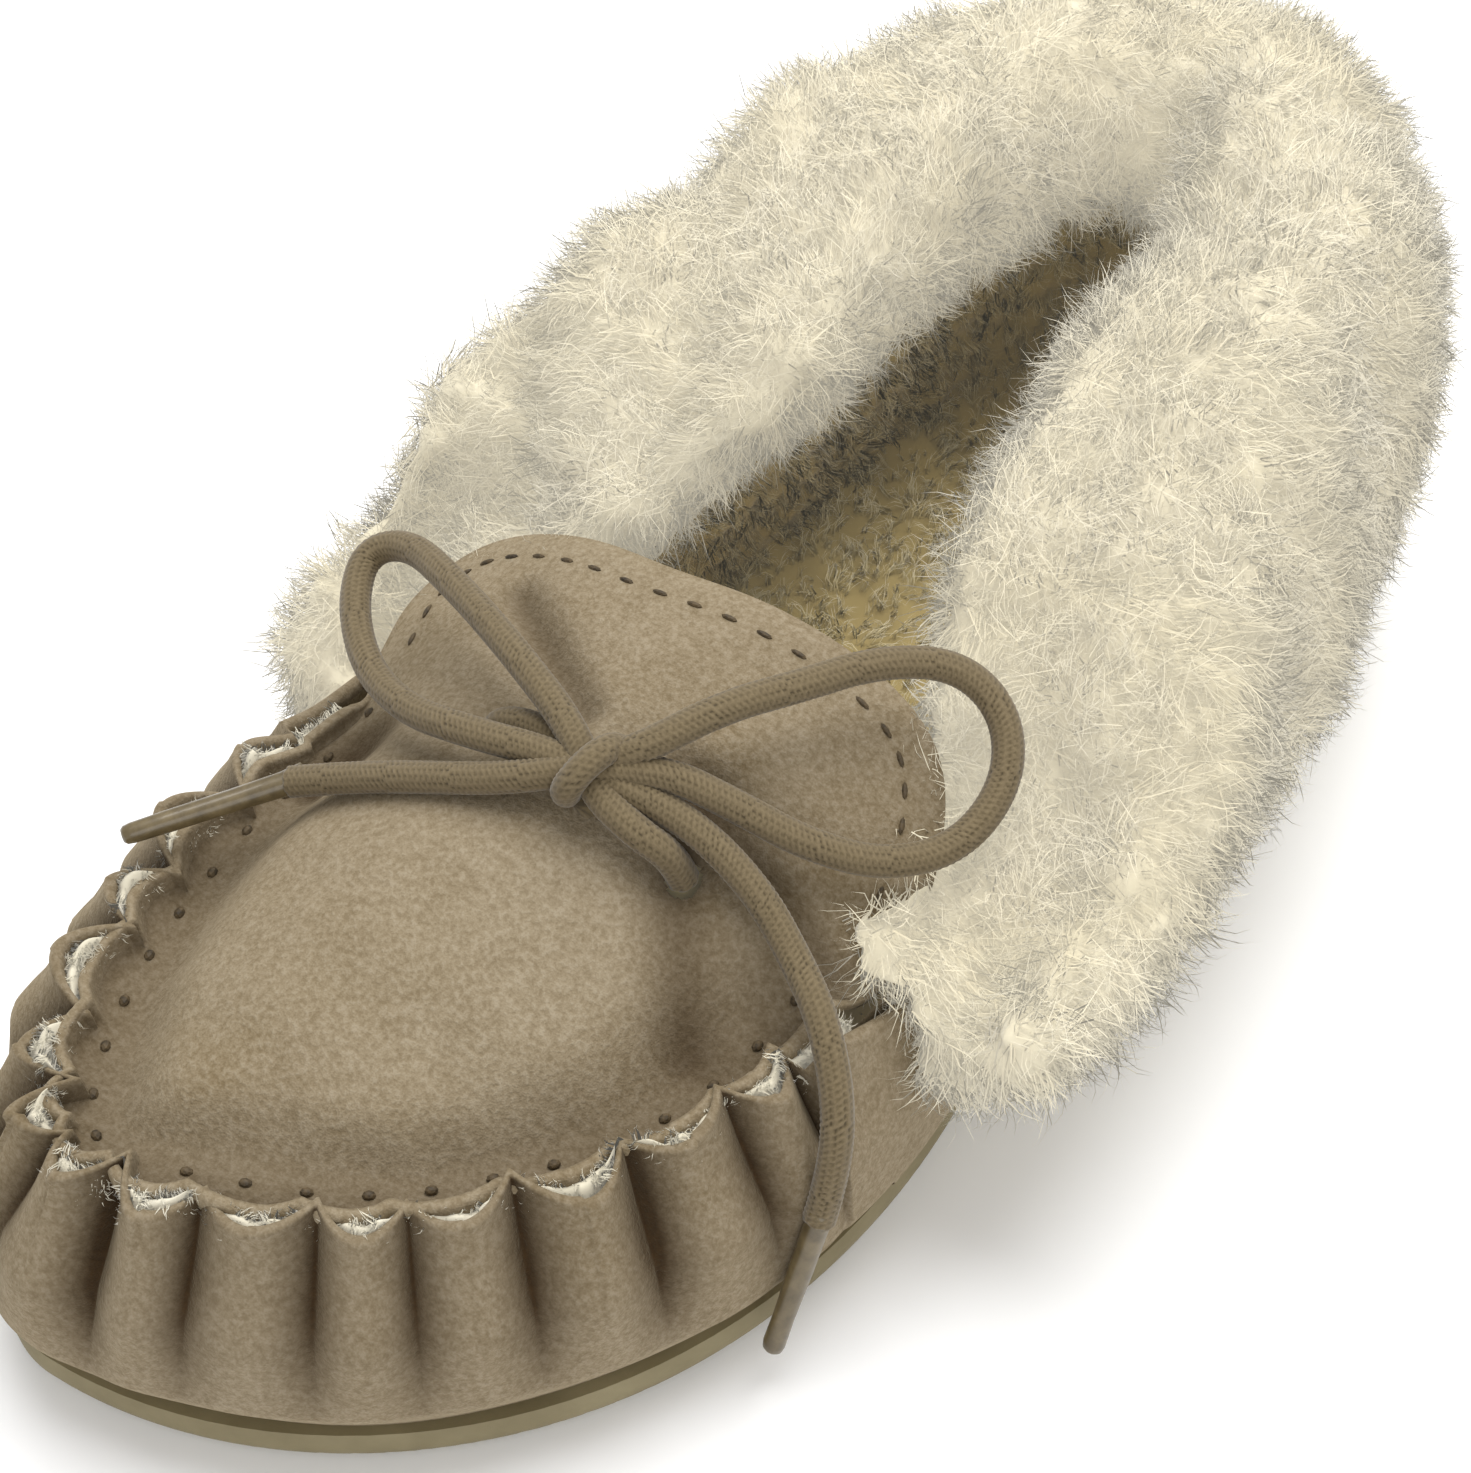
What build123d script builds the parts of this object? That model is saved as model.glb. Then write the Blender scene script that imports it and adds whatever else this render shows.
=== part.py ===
from build123d import *
import os
from math import hypot, pi, radians, tan

# A left-foot sheepskin moccasin slipper, in millimetres. The toe points to -Y, the heel to +Y,
# the outer (little toe) side is +X, and the sole stands on the floor at z = 0.

# Overall sizes
sole_length = 240.0
toe_y = -127.0
sole_centre_x = -4.0
sole_thickness = 6.0
sole_lip = 1.0
sole_lip_height = 3.4
upper_lean = 2.5
centring = (-1.16, 0.59)

# Thicknesses and clearances
suede = 1.8
board_thickness = 2.0
cushion_thickness = 4.0
fleece_sock = 5.0
fleece_wall = 7.0
fleece_crown = 5.0
stiffener_thickness = 1.2
clearance = 1.0

# Places along and up the shoe
fleece_floor = sole_thickness + board_thickness + cushion_thickness
ridge_top = 41.0
lip_top = 39.6
ridge_floor = 30.0
ridge_lip_outer = -11.5
stiffener_front_y = 50.0
stiffener_top = 50.0
flex_y = -41.0
wall_end_y = -43.0
outer_cuff_front_y = -30.0
body_top = 60.0

# Lace
lace_diameter = 4.0
aglet_diameter = 3.4
aglet_length = 22.0
lace_hole_diameter = 4.6
knot_size = (9.0, 6.4, 8.0)
knot_round = 2.4
tongue_hinge_z = 57.0
loop_clearing = (44.0, 24.0, 20.0)
loop_turns = (0.0, 2.5, 5.0, 7.5, 10.0, 12.5, 15.0)

# Sole outline: (distance from the toe, outer side, inner side)
sole_stations = (
    (9.0, 12.5, -32.0),
    (25.0, 32.0, -42.5),
    (50.0, 47.0, -49.5),
    (78.0, 52.5, -49.5),
    (106.0, 50.0, -44.5),
    (134.0, 42.0, -37.0),
    (168.0, 36.5, -33.5),
    (199.0, 35.0, -33.5),
    (223.0, 27.5, -26.5),
    (236.0, 12.5, -12.5),
)
toe_tip_x = -14.5

# Offsets outward from the sole outline at each height, at the front, the sides and the heel
body_profile = (
    (6.0, -1.5, -1.5, -1.5),
    (16.0, 2.0, 1.5, 1.5),
    (28.0, 0.0, 0.0, 0.0),
    (41.0, -8.0, -3.0, -3.0),
    (60.0, -9.0, -6.0, -5.0),
)
cuff_profile = (
    (12.0, 6.0, 14.0, 8.0),
    (26.0, 12.0, 22.0, 13.0),
    (46.0, 13.0, 25.0, 15.0),
    (66.0, 10.0, 20.0, 12.0),
    (84.0, 0.0, 5.0, 0.0),
)
opening_profile = (
    (55.0, -15.0, -15.0, -15.0),
    (70.0, -18.0, -18.0, -17.0),
    (86.0, -12.0, -12.0, -10.0),
)
front_station_y = -60.0
side_station_y = -10.0
rear_station_y = 30.0
heel_station_y = 95.0

# Side profiles as (y, height): the collar falls towards the tongue, and so do the quarters
cuff_side = ((-46.0, 33.0), (-20.0, 47.0), (4.0, 61.0), (34.0, 75.0), (66.0, 82.0), (98.0, 84.0), (150.0, 84.0))
quarter_side = ((-44.0, 31.0), (-10.0, 38.0), (30.0, 52.0), (60.0, 58.0), (150.0, 58.0))

# Crowned sheets: (y, left edge, right edge, edge height, crown height)
apron_sections = (
    (-130.0, -30.0, 14.0, 30.0, 32.0),
    (-112.0, -36.0, 22.0, 31.0, 40.0),
    (-92.0, -40.0, 30.0, 32.0, 46.5),
    (-70.0, -44.0, 38.0, 33.0, 52.0),
    (-41.4, -44.0, 44.0, 37.2, 57.3),
)
tongue_sections = (
    (-40.6, -44.0, 44.0, 37.5, 57.4),
    (-30.0, -46.0, 46.0, 41.5, 58.8),
    (-18.0, -47.0, 46.0, 45.0, 60.0),
    (-6.0, -47.0, 45.0, 49.0, 61.0),
)
tongue_edge = (
    (41.5, -40.6), (42.0, -33.0), (39.5, -24.0), (33.5, -15.0), (23.0, -11.0), (6.0, -11.8),
    (-13.0, -13.6), (-29.0, -14.0), (-40.0, -17.0), (-45.0, -25.0), (-44.0, -34.0), (-41.0, -40.6),
)
tongue_lining_edge = (
    (32.0, -40.6), (33.0, -33.0), (29.0, -24.0), (17.0, -18.0), (0.0, -18.0),
    (-18.0, -19.0), (-29.0, -24.0), (-33.5, -33.0), (-32.5, -40.6),
)

# Lace route: the knot, the two holes, the loops behind the knot and the two ends
knot_centre = (5.5, -48.5, 61.5)
left_hole = (-12.5, -46.5)
right_hole = (18.5, -47.3)
left_loop_route = (
    (0.0, -44.5, 64.5), (-14.0, -40.8, 65.0), (-27.5, -36.0, 63.5), (-39.5, -31.8, 60.5), (-45.0, -34.8, 58.0),
    (-41.5, -41.5, 55.5), (-33.0, -48.0, 54.5), (-22.5, -51.5, 56.5), (-11.5, -51.5, 60.0), (-0.8, -49.0, 61.4),
)
right_loop_route = (
    (11.0, -40.5, 67.0), (14.5, -34.0, 67.0), (19.6, -25.7, 67.0), (24.8, -16.3, 67.0), (32.0, -9.6, 65.5),
    (39.7, -10.0, 61.8), (44.0, -15.8, 57.0), (43.3, -24.8, 53.0), (37.3, -32.3, 52.5), (29.3, -37.3, 55.5),
    (21.0, -40.0, 59.0), (12.5, -43.2, 62.4),
)
left_end_route = ((5.5, -50.3, 61.0), (-4.0, -54.0, 58.8), (-14.0, -57.5, 55.2), (-23.5, -60.5, 51.2), (-31.4, -64.2, 48.0))
right_end_route = (
    (5.5, -48.0, 61.5), (18.0, -44.8, 58.3), (28.3, -45.0, 53.3), (36.0, -47.5, 48.5), (43.0, -51.5, 47.0),
    (48.9, -56.1, 41.5), (51.8, -60.4, 34.0), (51.9, -63.4, 27.0),
)
left_leg_route = ((4.0, -46.5, 60.5), (-3.5, -45.2, 59.5), (-10.5, -45.6, 58.6), (-12.5, -46.5, 53.2))
right_leg_route = ((7.0, -50.5, 60.0), (13.5, -50.3, 58.6), (18.3, -48.8, 56.2), (18.5, -47.3, 50.0))
left_aglet_tip = (-42.8, -82.0, 46.0)
right_aglet_tip = (51.4, -71.8, 6.3)


def spread(y, offsets):
    """The offset at y, blended between the front, side and heel values."""
    front, side, heel = offsets
    if y < side_station_y:
        share = min((side_station_y - y) / (side_station_y - front_station_y), 1.0)
        return side + (front - side) * share
    share = min(max((y - rear_station_y) / (heel_station_y - rear_station_y), 0.0), 1.0)
    return side + (heel - side) * share


def outline_points(offsets):
    """Points of the sole outline, counter-clockwise, moved outward by the offsets."""
    outer = [(x, length) for length, x, _ in sole_stations]
    inner = [(x, length) for length, _, x in reversed(sole_stations)]
    base = [(toe_tip_x, 0.0)] + outer + [(0.0, sole_length)] + inner
    base = [(x + sole_centre_x, length + toe_y) for x, length in base]
    moved = []
    for index, (x, y) in enumerate(base):
        before = base[index - 1]
        after = base[(index + 1) % len(base)]
        along = (after[0] - before[0], after[1] - before[1])
        size = hypot(*along)
        offset = spread(y, offsets)
        moved.append((x + along[1] / size * offset, y - along[0] / size * offset))
    return moved


def ring(z, offsets):
    """A flat face with the shifted outline at height z; the upper leans outward a little."""
    lean = upper_lean * min(z, ridge_top) / ridge_top if z > sole_thickness else 0.0
    points = [Vector(x + lean, y, z) for x, y in outline_points(offsets)]
    return Face(Wire([Edge.make_spline(points, periodic=True)]))


def even(offset):
    """The same offset all the way round."""
    return (offset, offset, offset)


def layer(z_low, z_high, offset):
    """A flat layer with the sole's outline."""
    return extrude(ring(z_low, even(offset)), z_high - z_low, dir=(0, 0, 1))


def body_of(profile, inset=0.0):
    """A loft through the outline at the profile's heights, moved inward by the inset."""
    return loft([ring(row[0], [value - inset for value in row[1:]]) for row in profile])


def block(x_low=-200.0, x_high=200.0, y_low=-200.0, y_high=200.0, z_low=0.0, z_high=200.0):
    """A box between the given limits."""
    centre = ((x_low + x_high) / 2, (y_low + y_high) / 2, (z_low + z_high) / 2)
    return Pos(*centre) * Box(x_high - x_low, y_high - y_low, z_high - z_low)


def below(side_line):
    """Everything under a side profile line, right across the shoe."""
    top = Edge.make_spline([Vector(0, y, z) for y, z in side_line])
    first, last = side_line[0], side_line[-1]
    sides = Polyline((0, last[0], last[1]), (0, last[0], 0), (0, first[0], 0), (0, first[0], first[1]))
    face = Face(Wire([top] + list(sides.edges())))
    return Pos(-100, 0, 0) * extrude(face, 200, dir=(1, 0, 0))


def crown_face(row, drop, depth):
    """A crescent across the shoe at one place: the arch lowered by drop, and depth thick."""
    y, left, right, edge, crown = row
    centre = (left + right) / 2
    half = (right - left) / 2
    points = []
    for share in (-1.3, -1.0, -0.6, 0.0, 0.6, 1.0, 1.3):
        height = edge + (crown - edge) * (1 - share * share) - drop
        points.append(Vector(centre + share * half, y, height))
    top = Edge.make_spline(points)
    lowered = [point - Vector(0, 0, depth) for point in points]
    bottom = Edge.make_spline(lowered)
    ends = [Edge.make_line(points[0], lowered[0]), Edge.make_line(points[-1], lowered[-1])]
    return Face(Wire([top, bottom] + ends))


def crown_sheet(sections, drop, depth):
    """The curved sheet through the sections."""
    return loft([crown_face(row, drop, depth) for row in sections])


def tongue_prism(edge):
    """An upright prism on a curved edge that is closed by a straight line along the bend."""
    points = [Vector(x, y, 0) for x, y in edge]
    face = Face(Wire([Edge.make_spline(points), Edge.make_line(points[-1], points[0])]))
    return extrude(face, 120, dir=(0, 0, 1))


def make_sole():
    """The rubber outsole with its lip, and the flat layers inside the shoe."""
    lip = [(0.0, -0.6), (sole_lip_height, sole_lip), (sole_thickness, 0.4)]
    board_top = sole_thickness + board_thickness
    return {
        "outsole": loft([ring(z, even(value)) for z, value in lip]),
        "insole_board": layer(sole_thickness, board_top, -3.6),
        "cushion_pad": layer(board_top, fleece_floor, -4.0),
        "sock_fleece": layer(fleece_floor, fleece_floor + fleece_sock, -9.6),
    }


def make_upper():
    """The gathered wall, the quarters, the heel stiffener and the fleece inside them."""
    outside = body_of(body_profile)
    suede_inside = body_of(body_profile, suede)
    stiffener_inside = body_of(body_profile, suede + stiffener_thickness)
    foot_space = body_of(body_profile, suede + fleece_wall)
    front = block(y_high=wall_end_y, z_high=ridge_top)
    quarter_room = below(quarter_side) & block(y_low=wall_end_y)
    outer_half = block(x_low=sole_centre_x)
    inner_half = block(x_high=sole_centre_x)
    heel_room = block(y_low=stiffener_front_y, z_low=fleece_floor, z_high=stiffener_top)
    suede_skin = outside - suede_inside
    stiffener = (suede_inside - stiffener_inside) & heel_room
    pile = suede_inside - foot_space
    front_pile = pile & block(y_high=wall_end_y, z_low=fleece_floor, z_high=ridge_floor)
    rear_pile = (pile & quarter_room & block(z_low=fleece_floor)) - stiffener
    quarters = suede_skin & quarter_room
    return {
        "gathered_wall": suede_skin & front,
        "quarter_outer": quarters & outer_half,
        "quarter_inner": quarters & inner_half,
        "heel_stiffener": stiffener,
        "toe_fleece": front_pile,
        "quarter_fleece_outer": rear_pile & outer_half,
        "quarter_fleece_inner": rear_pile & inner_half,
    }


def make_apron():
    """The apron with its raised edge, its fleece, and the fleece packed into the gathered ridge."""
    front = block(y_high=flex_y - 0.4)
    edge_outside = layer(0.1, 100.0, ridge_lip_outer)
    edge_middle = layer(0.1, 100.0, ridge_lip_outer - suede / 2)
    edge_inside = layer(0.1, 100.0, ridge_lip_outer - suede)
    lip = (edge_outside - edge_inside) & block(y_high=wall_end_y, z_low=ridge_floor, z_high=lip_top)
    apron = (crown_sheet(apron_sections, 0.0, suede) & edge_middle & front) + lip
    for x, y in (left_hole, right_hole):
        apron -= Pos(x, y, 50) * Cylinder(lace_hole_diameter / 2, 60)
    lining_plan = layer(0.1, 100.0, ridge_lip_outer - suede - 0.4) & front
    lining = crown_sheet(apron_sections, suede, fleece_crown) & lining_plan
    packing = body_of(body_profile, suede) - edge_outside
    packing = packing & block(y_high=wall_end_y, z_low=ridge_floor, z_high=ridge_top - 1.0)
    return {"apron": apron, "apron_fleece": lining, "ridge_fleece": packing}


def make_tongue():
    """The tongue flap and its fleece."""
    flap = crown_sheet(tongue_sections, 0.0, suede) & tongue_prism(tongue_edge)
    lining = crown_sheet(tongue_sections, suede, fleece_crown) & tongue_prism(tongue_lining_edge)
    return {"tongue": flap, "tongue_fleece": lining}


def make_cuff():
    """The sheepskin collar turned down over the quarters, in two halves that meet at the back."""
    foot_space = body_of(body_profile, suede + fleece_wall)
    above_tongue = crown_sheet(tongue_sections, -100.0, 100.0 + suede + clearance)
    roll = body_of(cuff_profile) & below(cuff_side)
    solid_body = body_of(body_profile) & below(quarter_side)
    roll = roll - solid_body - foot_space - body_of(opening_profile) - above_tongue
    outer = roll & block(x_low=sole_centre_x, y_low=outer_cuff_front_y)
    inner = roll & block(x_high=sole_centre_x, y_low=wall_end_y)
    return {"cuff_outer": outer, "cuff_inner": inner}


def cord(name, points, diameter=lace_diameter):
    """A round cord along straight runs joined by tangent arcs."""
    radii = []
    for before, corner, after in zip(points, points[1:], points[2:]):
        run_in = Vector(*corner) - Vector(*before)
        run_out = Vector(*after) - Vector(*corner)
        half_turn = radians(run_in.get_angle(run_out)) / 2
        radii.append(0.45 * min(run_in.length, run_out.length) / tan(half_turn))
    path = FilletPolyline(*points, radius=radii)
    solid = sweep(Plane(origin=path @ 0, z_dir=path % 0) * Circle(diameter / 2), path=path)
    share = solid.volume / (pi * diameter**2 / 4 * path.length)
    print(name, "radius / diameter", [round(radius / diameter, 1) for radius in radii])
    print(name, "length", round(path.length, 1), "volume share", round(share, 3))
    return solid


def aglet(start, tip):
    """The stiff tip of the lace, on past the end of the cord."""
    direction = (Vector(*tip) - Vector(*start)).normalized()
    return Plane(origin=start, z_dir=direction) * Cylinder(
        aglet_diameter / 2, aglet_length, align=(Align.CENTER, Align.CENTER, Align.MIN)
    )


def clear_of(shape, loop):
    """Cut a cord back where a loop beside it swings as the tongue is lifted."""
    near_knot = Pos(*knot_centre) * Box(*loop_clearing)
    hinge = Axis((0, flex_y, tongue_hinge_z), (1, 0, 0))
    root = loop & near_knot
    for turn in loop_turns:
        shape = shape - root.rotate(hinge, turn)
    return shape


def make_lace(apron, lining):
    """The bow: knot, loops, ends, and the two short legs down through the apron's holes."""
    knot = Pos(*knot_centre) * Box(*knot_size)
    knot = fillet(knot.edges(), knot_round)
    left_loop = cord("lace_loop_left", left_loop_route)
    right_loop = cord("lace_loop_right", right_loop_route)
    left_aglet = aglet(left_end_route[-1], left_aglet_tip)
    right_aglet = aglet(right_end_route[-1], right_aglet_tip)
    right_end = clear_of(cord("lace_end_right", right_end_route) - knot - right_aglet, right_loop)
    left_end = clear_of(cord("lace_end_left", left_end_route) - knot - left_aglet - apron, left_loop)
    left_leg = clear_of(cord("lace_leg_left", left_leg_route) - knot - apron - lining, left_loop)
    right_leg = cord("lace_leg_right", right_leg_route) - knot - apron - lining - right_end - left_end
    return {
        "lace_knot": knot,
        "lace_loop_left": left_loop,
        "lace_loop_right": right_loop,
        "lace_end_left": left_end,
        "lace_end_right": right_end,
        "lace_leg_left": left_leg,
        "lace_leg_right": right_leg,
        "aglet_left": left_aglet,
        "aglet_right": right_aglet,
    }


def export_all(parts):
    os.makedirs("parts", exist_ok=True)
    for name, shape in parts.items():
        solids = sorted((Pos(*centring, 0) * shape).solids(), key=lambda solid: -solid.volume)
        box = solids[0].bounding_box()
        print(name, len(solids), [round(solid.volume, 2) for solid in solids[:3]], box.min, box.max)
        solids[0].label = name
        export_step(solids[0], f"parts/{name}.step")


parts = {}
parts.update(make_sole())
parts.update(make_upper())
parts.update(make_apron())
parts["toe_fleece"] = parts["toe_fleece"] - parts["apron"]
parts.update(make_tongue())
parts.update(make_cuff())
parts.update(make_lace(parts["apron"], parts["apron_fleece"]))
export_all(parts)
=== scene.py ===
import math
import random

import bmesh
import bpy
import numpy as np
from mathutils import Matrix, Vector


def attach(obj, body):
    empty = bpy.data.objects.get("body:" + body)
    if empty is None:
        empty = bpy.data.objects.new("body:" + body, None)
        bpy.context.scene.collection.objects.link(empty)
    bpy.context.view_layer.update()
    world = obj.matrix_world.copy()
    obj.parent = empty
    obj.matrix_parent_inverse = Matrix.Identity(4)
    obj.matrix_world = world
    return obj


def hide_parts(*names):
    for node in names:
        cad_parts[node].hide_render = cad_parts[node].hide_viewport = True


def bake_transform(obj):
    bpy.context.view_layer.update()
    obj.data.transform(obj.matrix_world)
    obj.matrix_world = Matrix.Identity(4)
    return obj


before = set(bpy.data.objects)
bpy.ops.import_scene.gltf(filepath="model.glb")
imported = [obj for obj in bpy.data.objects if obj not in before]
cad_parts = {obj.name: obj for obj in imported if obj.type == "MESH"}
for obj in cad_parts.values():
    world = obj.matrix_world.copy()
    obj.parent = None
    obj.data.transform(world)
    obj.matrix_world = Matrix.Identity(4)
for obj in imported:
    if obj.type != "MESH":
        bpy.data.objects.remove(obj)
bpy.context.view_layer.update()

MM = 0.001
CENTRING = np.array([-1.16, 0.59, 0.0])
SHOE = "shoe"
FLAP = "tongue_flap"

# ---------------------------------------------------------------- camera, light and floor


def metres(point):
    """A point of the shoe's own millimetre drawing, placed in the row frame."""
    return Vector((np.array(point, float) + CENTRING) * MM)


def make_camera():
    azimuth, elevation = math.radians(38.1), math.radians(48.2)
    back = Vector((math.sin(azimuth) * math.cos(elevation), -math.cos(azimuth) * math.cos(elevation),
                   math.sin(elevation)))
    data = bpy.data.cameras.new("studio_camera")
    data.lens = 62.05
    data.sensor_width = 36.0
    camera = bpy.data.objects.new("studio_camera", data)
    camera.rotation_mode = "QUATERNION"
    camera.rotation_quaternion = (-back).to_track_quat("-Z", "Y")
    camera.location = metres((-1.9, -10.9, 30.0)) + back * 0.350
    data.clip_start = 0.01
    bpy.context.scene.collection.objects.link(camera)
    bpy.context.scene.camera = camera


def make_light(name, place, target, size, power):
    data = bpy.data.lights.new(name, "AREA")
    data.shape = "DISK"
    data.size = size
    data.energy = power
    light = bpy.data.objects.new(name, data)
    light.location = place
    light.rotation_mode = "QUATERNION"
    light.rotation_quaternion = (Vector(target) - Vector(place)).to_track_quat("-Z", "Y")
    bpy.context.scene.collection.objects.link(light)


def make_studio():
    make_camera()
    make_light("overhead_softbox", (-0.10, 0.25, 0.95), (0, 0, 0), 0.9, 11.0)
    make_light("front_fill", (0.75, -0.75, 0.55), (0, 0, 0.03), 0.8, 3.2)
    world = bpy.data.worlds.new("pale_studio")
    bpy.context.scene.world = world
    world.use_nodes = True
    world.node_tree.nodes["Background"].inputs["Color"].default_value = (1, 1, 1, 1)
    world.node_tree.nodes["Background"].inputs["Strength"].default_value = 0.62
    bpy.context.scene.view_settings.view_transform = "Standard"


# ---------------------------------------------------------------- materials


def linear(code):
    """An sRGB hex colour as linear RGBA."""
    values = [int(code[i:i + 2], 16) / 255 for i in (1, 3, 5)]
    return [v / 12.92 if v <= 0.04045 else ((v + 0.055) / 1.055) ** 2.4 for v in values] + [1.0]


def add(tree, kind, links=None, **settings):
    """Adds a node. Settings are its properties or sockets' values, and links are {socket: other socket}."""
    node = tree.nodes.new(kind)
    for key, value in settings.items():
        if hasattr(node, key):
            setattr(node, key, value)
        else:
            name = key.replace("_", " ")
            socket = next(s for s in node.inputs if s.name.lower() == name.lower() and s.enabled)
            socket.default_value = value
    for key, source in (links or {}).items():
        socket = node.inputs[key] if isinstance(key, int) else next(
            s for s in node.inputs if s.name.lower() == key.lower() and s.enabled)
        tree.links.new(source, socket)
    return node


def new_material(name):
    material = bpy.data.materials.new(name)
    material.use_nodes = True
    tree = material.node_tree
    tree.nodes.clear()
    shader = tree.nodes.new("ShaderNodeBsdfPrincipled")
    output = tree.nodes.new("ShaderNodeOutputMaterial")
    tree.links.new(shader.outputs[0], output.inputs[0])
    return material, tree, shader


def ramp(tree, source, stops):
    """A colour ramp fed by source; stops are (position, hex)."""
    node = add(tree, "ShaderNodeValToRGB", {"Fac": source})
    elements = node.color_ramp.elements
    while len(elements) < len(stops):
        elements.new(0.5)
    for element, (position, code) in zip(elements, stops):
        element.position = position
        element.color = linear(code)
    return node.outputs["Color"]


def noise(tree, coordinate, millimetres, detail=3.0, rough=0.5, distortion=0.0):
    """Noise whose largest features are about this many millimetres across."""
    node = add(tree, "ShaderNodeTexNoise", {"Vector": coordinate}, scale=1000.0 / millimetres, detail=detail,
               roughness=rough, distortion=distortion)
    return node.outputs["Factor"] if "Factor" in node.outputs else node.outputs[0]


def suede_material():
    """Sheepskin suede: the flesh side, buffed to a short nap that lies light or dark where it is brushed, and
    darkened by painted shade from each piece's shade attribute.
    """
    material, tree, shader = new_material("brushed_suede")
    coordinate = add(tree, "ShaderNodeTexCoord").outputs["Object"]
    shading = noise(tree, coordinate, 34.0, 3.0, 0.55, 0.4)
    brushed = noise(tree, coordinate, 5.0, 4.0, 0.7, 0.8)
    grain = noise(tree, coordinate, 0.9, 2.0, 0.8)
    soft = ramp(tree, shading, [(0.30, "#726248"), (0.48, "#867862"), (0.70, "#91846f")])
    streak = ramp(tree, brushed, [(0.30, "#635337"), (0.55, "#887a62"), (0.8, "#948873")])
    speck = ramp(tree, grain, [(0.34, "#615238"), (0.52, "#867962"), (0.66, "#9d927e")])
    mixed = add(tree, "ShaderNodeMix", {6: soft, 7: streak}, data_type="RGBA", blend_type="MIX")
    mixed.inputs[0].default_value = 0.35
    final = add(tree, "ShaderNodeMix", {6: mixed.outputs[2], 7: speck}, data_type="RGBA", blend_type="MIX")
    final.inputs[0].default_value = 0.42
    # Painted shade: the shade attribute multiplies the suede towards a dark brown in its creases, pinches and
    # hollows.
    painted_shade = add(tree, "ShaderNodeAttribute", attribute_name="shade")
    shaded = add(tree, "ShaderNodeMix", {0: painted_shade.outputs["Fac"], 6: final.outputs[2]}, data_type="RGBA",
                 blend_type="MULTIPLY")
    shaded.inputs[7].default_value = linear("#614b2d")
    tree.links.new(shaded.outputs[2], shader.inputs["Base Color"])
    bump = add(tree, "ShaderNodeBump", {"Height": grain}, strength=0.55, distance=0.0005)
    tree.links.new(bump.outputs[0], shader.inputs["Normal"])
    shader.inputs["Roughness"].default_value = 0.95
    shader.inputs["IOR"].default_value = 1.45
    shader.inputs["Specular IOR Level"].default_value = 0.15
    shader.inputs["Sheen Weight"].default_value = 0.25
    shader.inputs["Sheen Roughness"].default_value = 0.6
    shader.inputs["Sheen Tint"].default_value = linear("#d8c8a8")
    return material


def wool_material(name, deep, mid, tip, painted_glow):
    """Tanned sheepskin pile: fine crimped fibres, darker and yellower towards the skin, with a little painted
    glow: light the fibres give out of their own.
    """
    material, tree, shader = new_material(name)
    coordinate = add(tree, "ShaderNodeTexCoord").outputs["Object"]
    tint = noise(tree, coordinate, 38.0, 3.0, 0.6, 0.6)
    along = add(tree, "ShaderNodeAttribute", attribute_name="along").outputs["Fac"]
    root_to_tip = ramp(tree, along, [(0.0, deep), (0.45, mid), (1.0, tip)])
    blotch = ramp(tree, tint, [(0.35, "#e2d8ba"), (0.60, "#fbf7ee")])
    mixed = add(tree, "ShaderNodeMix", {6: root_to_tip, 7: blotch}, data_type="RGBA", blend_type="MULTIPLY")
    mixed.inputs[0].default_value = 0.45
    tree.links.new(mixed.outputs[2], shader.inputs["Base Color"])
    lie = add(tree, "ShaderNodeAttribute", attribute_name="pile_normal").outputs["Vector"]
    tree.links.new(lie, shader.inputs["Normal"])
    shader.inputs["Roughness"].default_value = 0.8
    shader.inputs["Specular IOR Level"].default_value = 0.2
    shader.inputs["Sheen Weight"].default_value = 0.3
    # Painted glow: the fibres give out light in their tip colour, standing in for light scattered through the
    # wool.
    shader.inputs["Emission Color"].default_value = linear(tip)
    shader.inputs["Emission Strength"].default_value = painted_glow
    material.cycles.use_bump_map_correction = False
    return material


def rubber_material():
    """Moulded rubber sole, matte olive, with the faint cloudiness of the mould release."""
    material, tree, shader = new_material("moulded_rubber")
    coordinate = add(tree, "ShaderNodeTexCoord").outputs["Object"]
    cloud = noise(tree, coordinate, 14.0, 4.0, 0.6)
    grain = noise(tree, coordinate, 0.7, 2.0, 0.6)
    tree.links.new(ramp(tree, cloud, [(0.3, "#766b4c"), (0.7, "#8d8262")]), shader.inputs["Base Color"])
    bump = add(tree, "ShaderNodeBump", {"Height": grain}, strength=0.25, distance=0.0002)
    tree.links.new(bump.outputs[0], shader.inputs["Normal"])
    shader.inputs["Roughness"].default_value = 0.62
    shader.inputs["IOR"].default_value = 1.52
    return material


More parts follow.
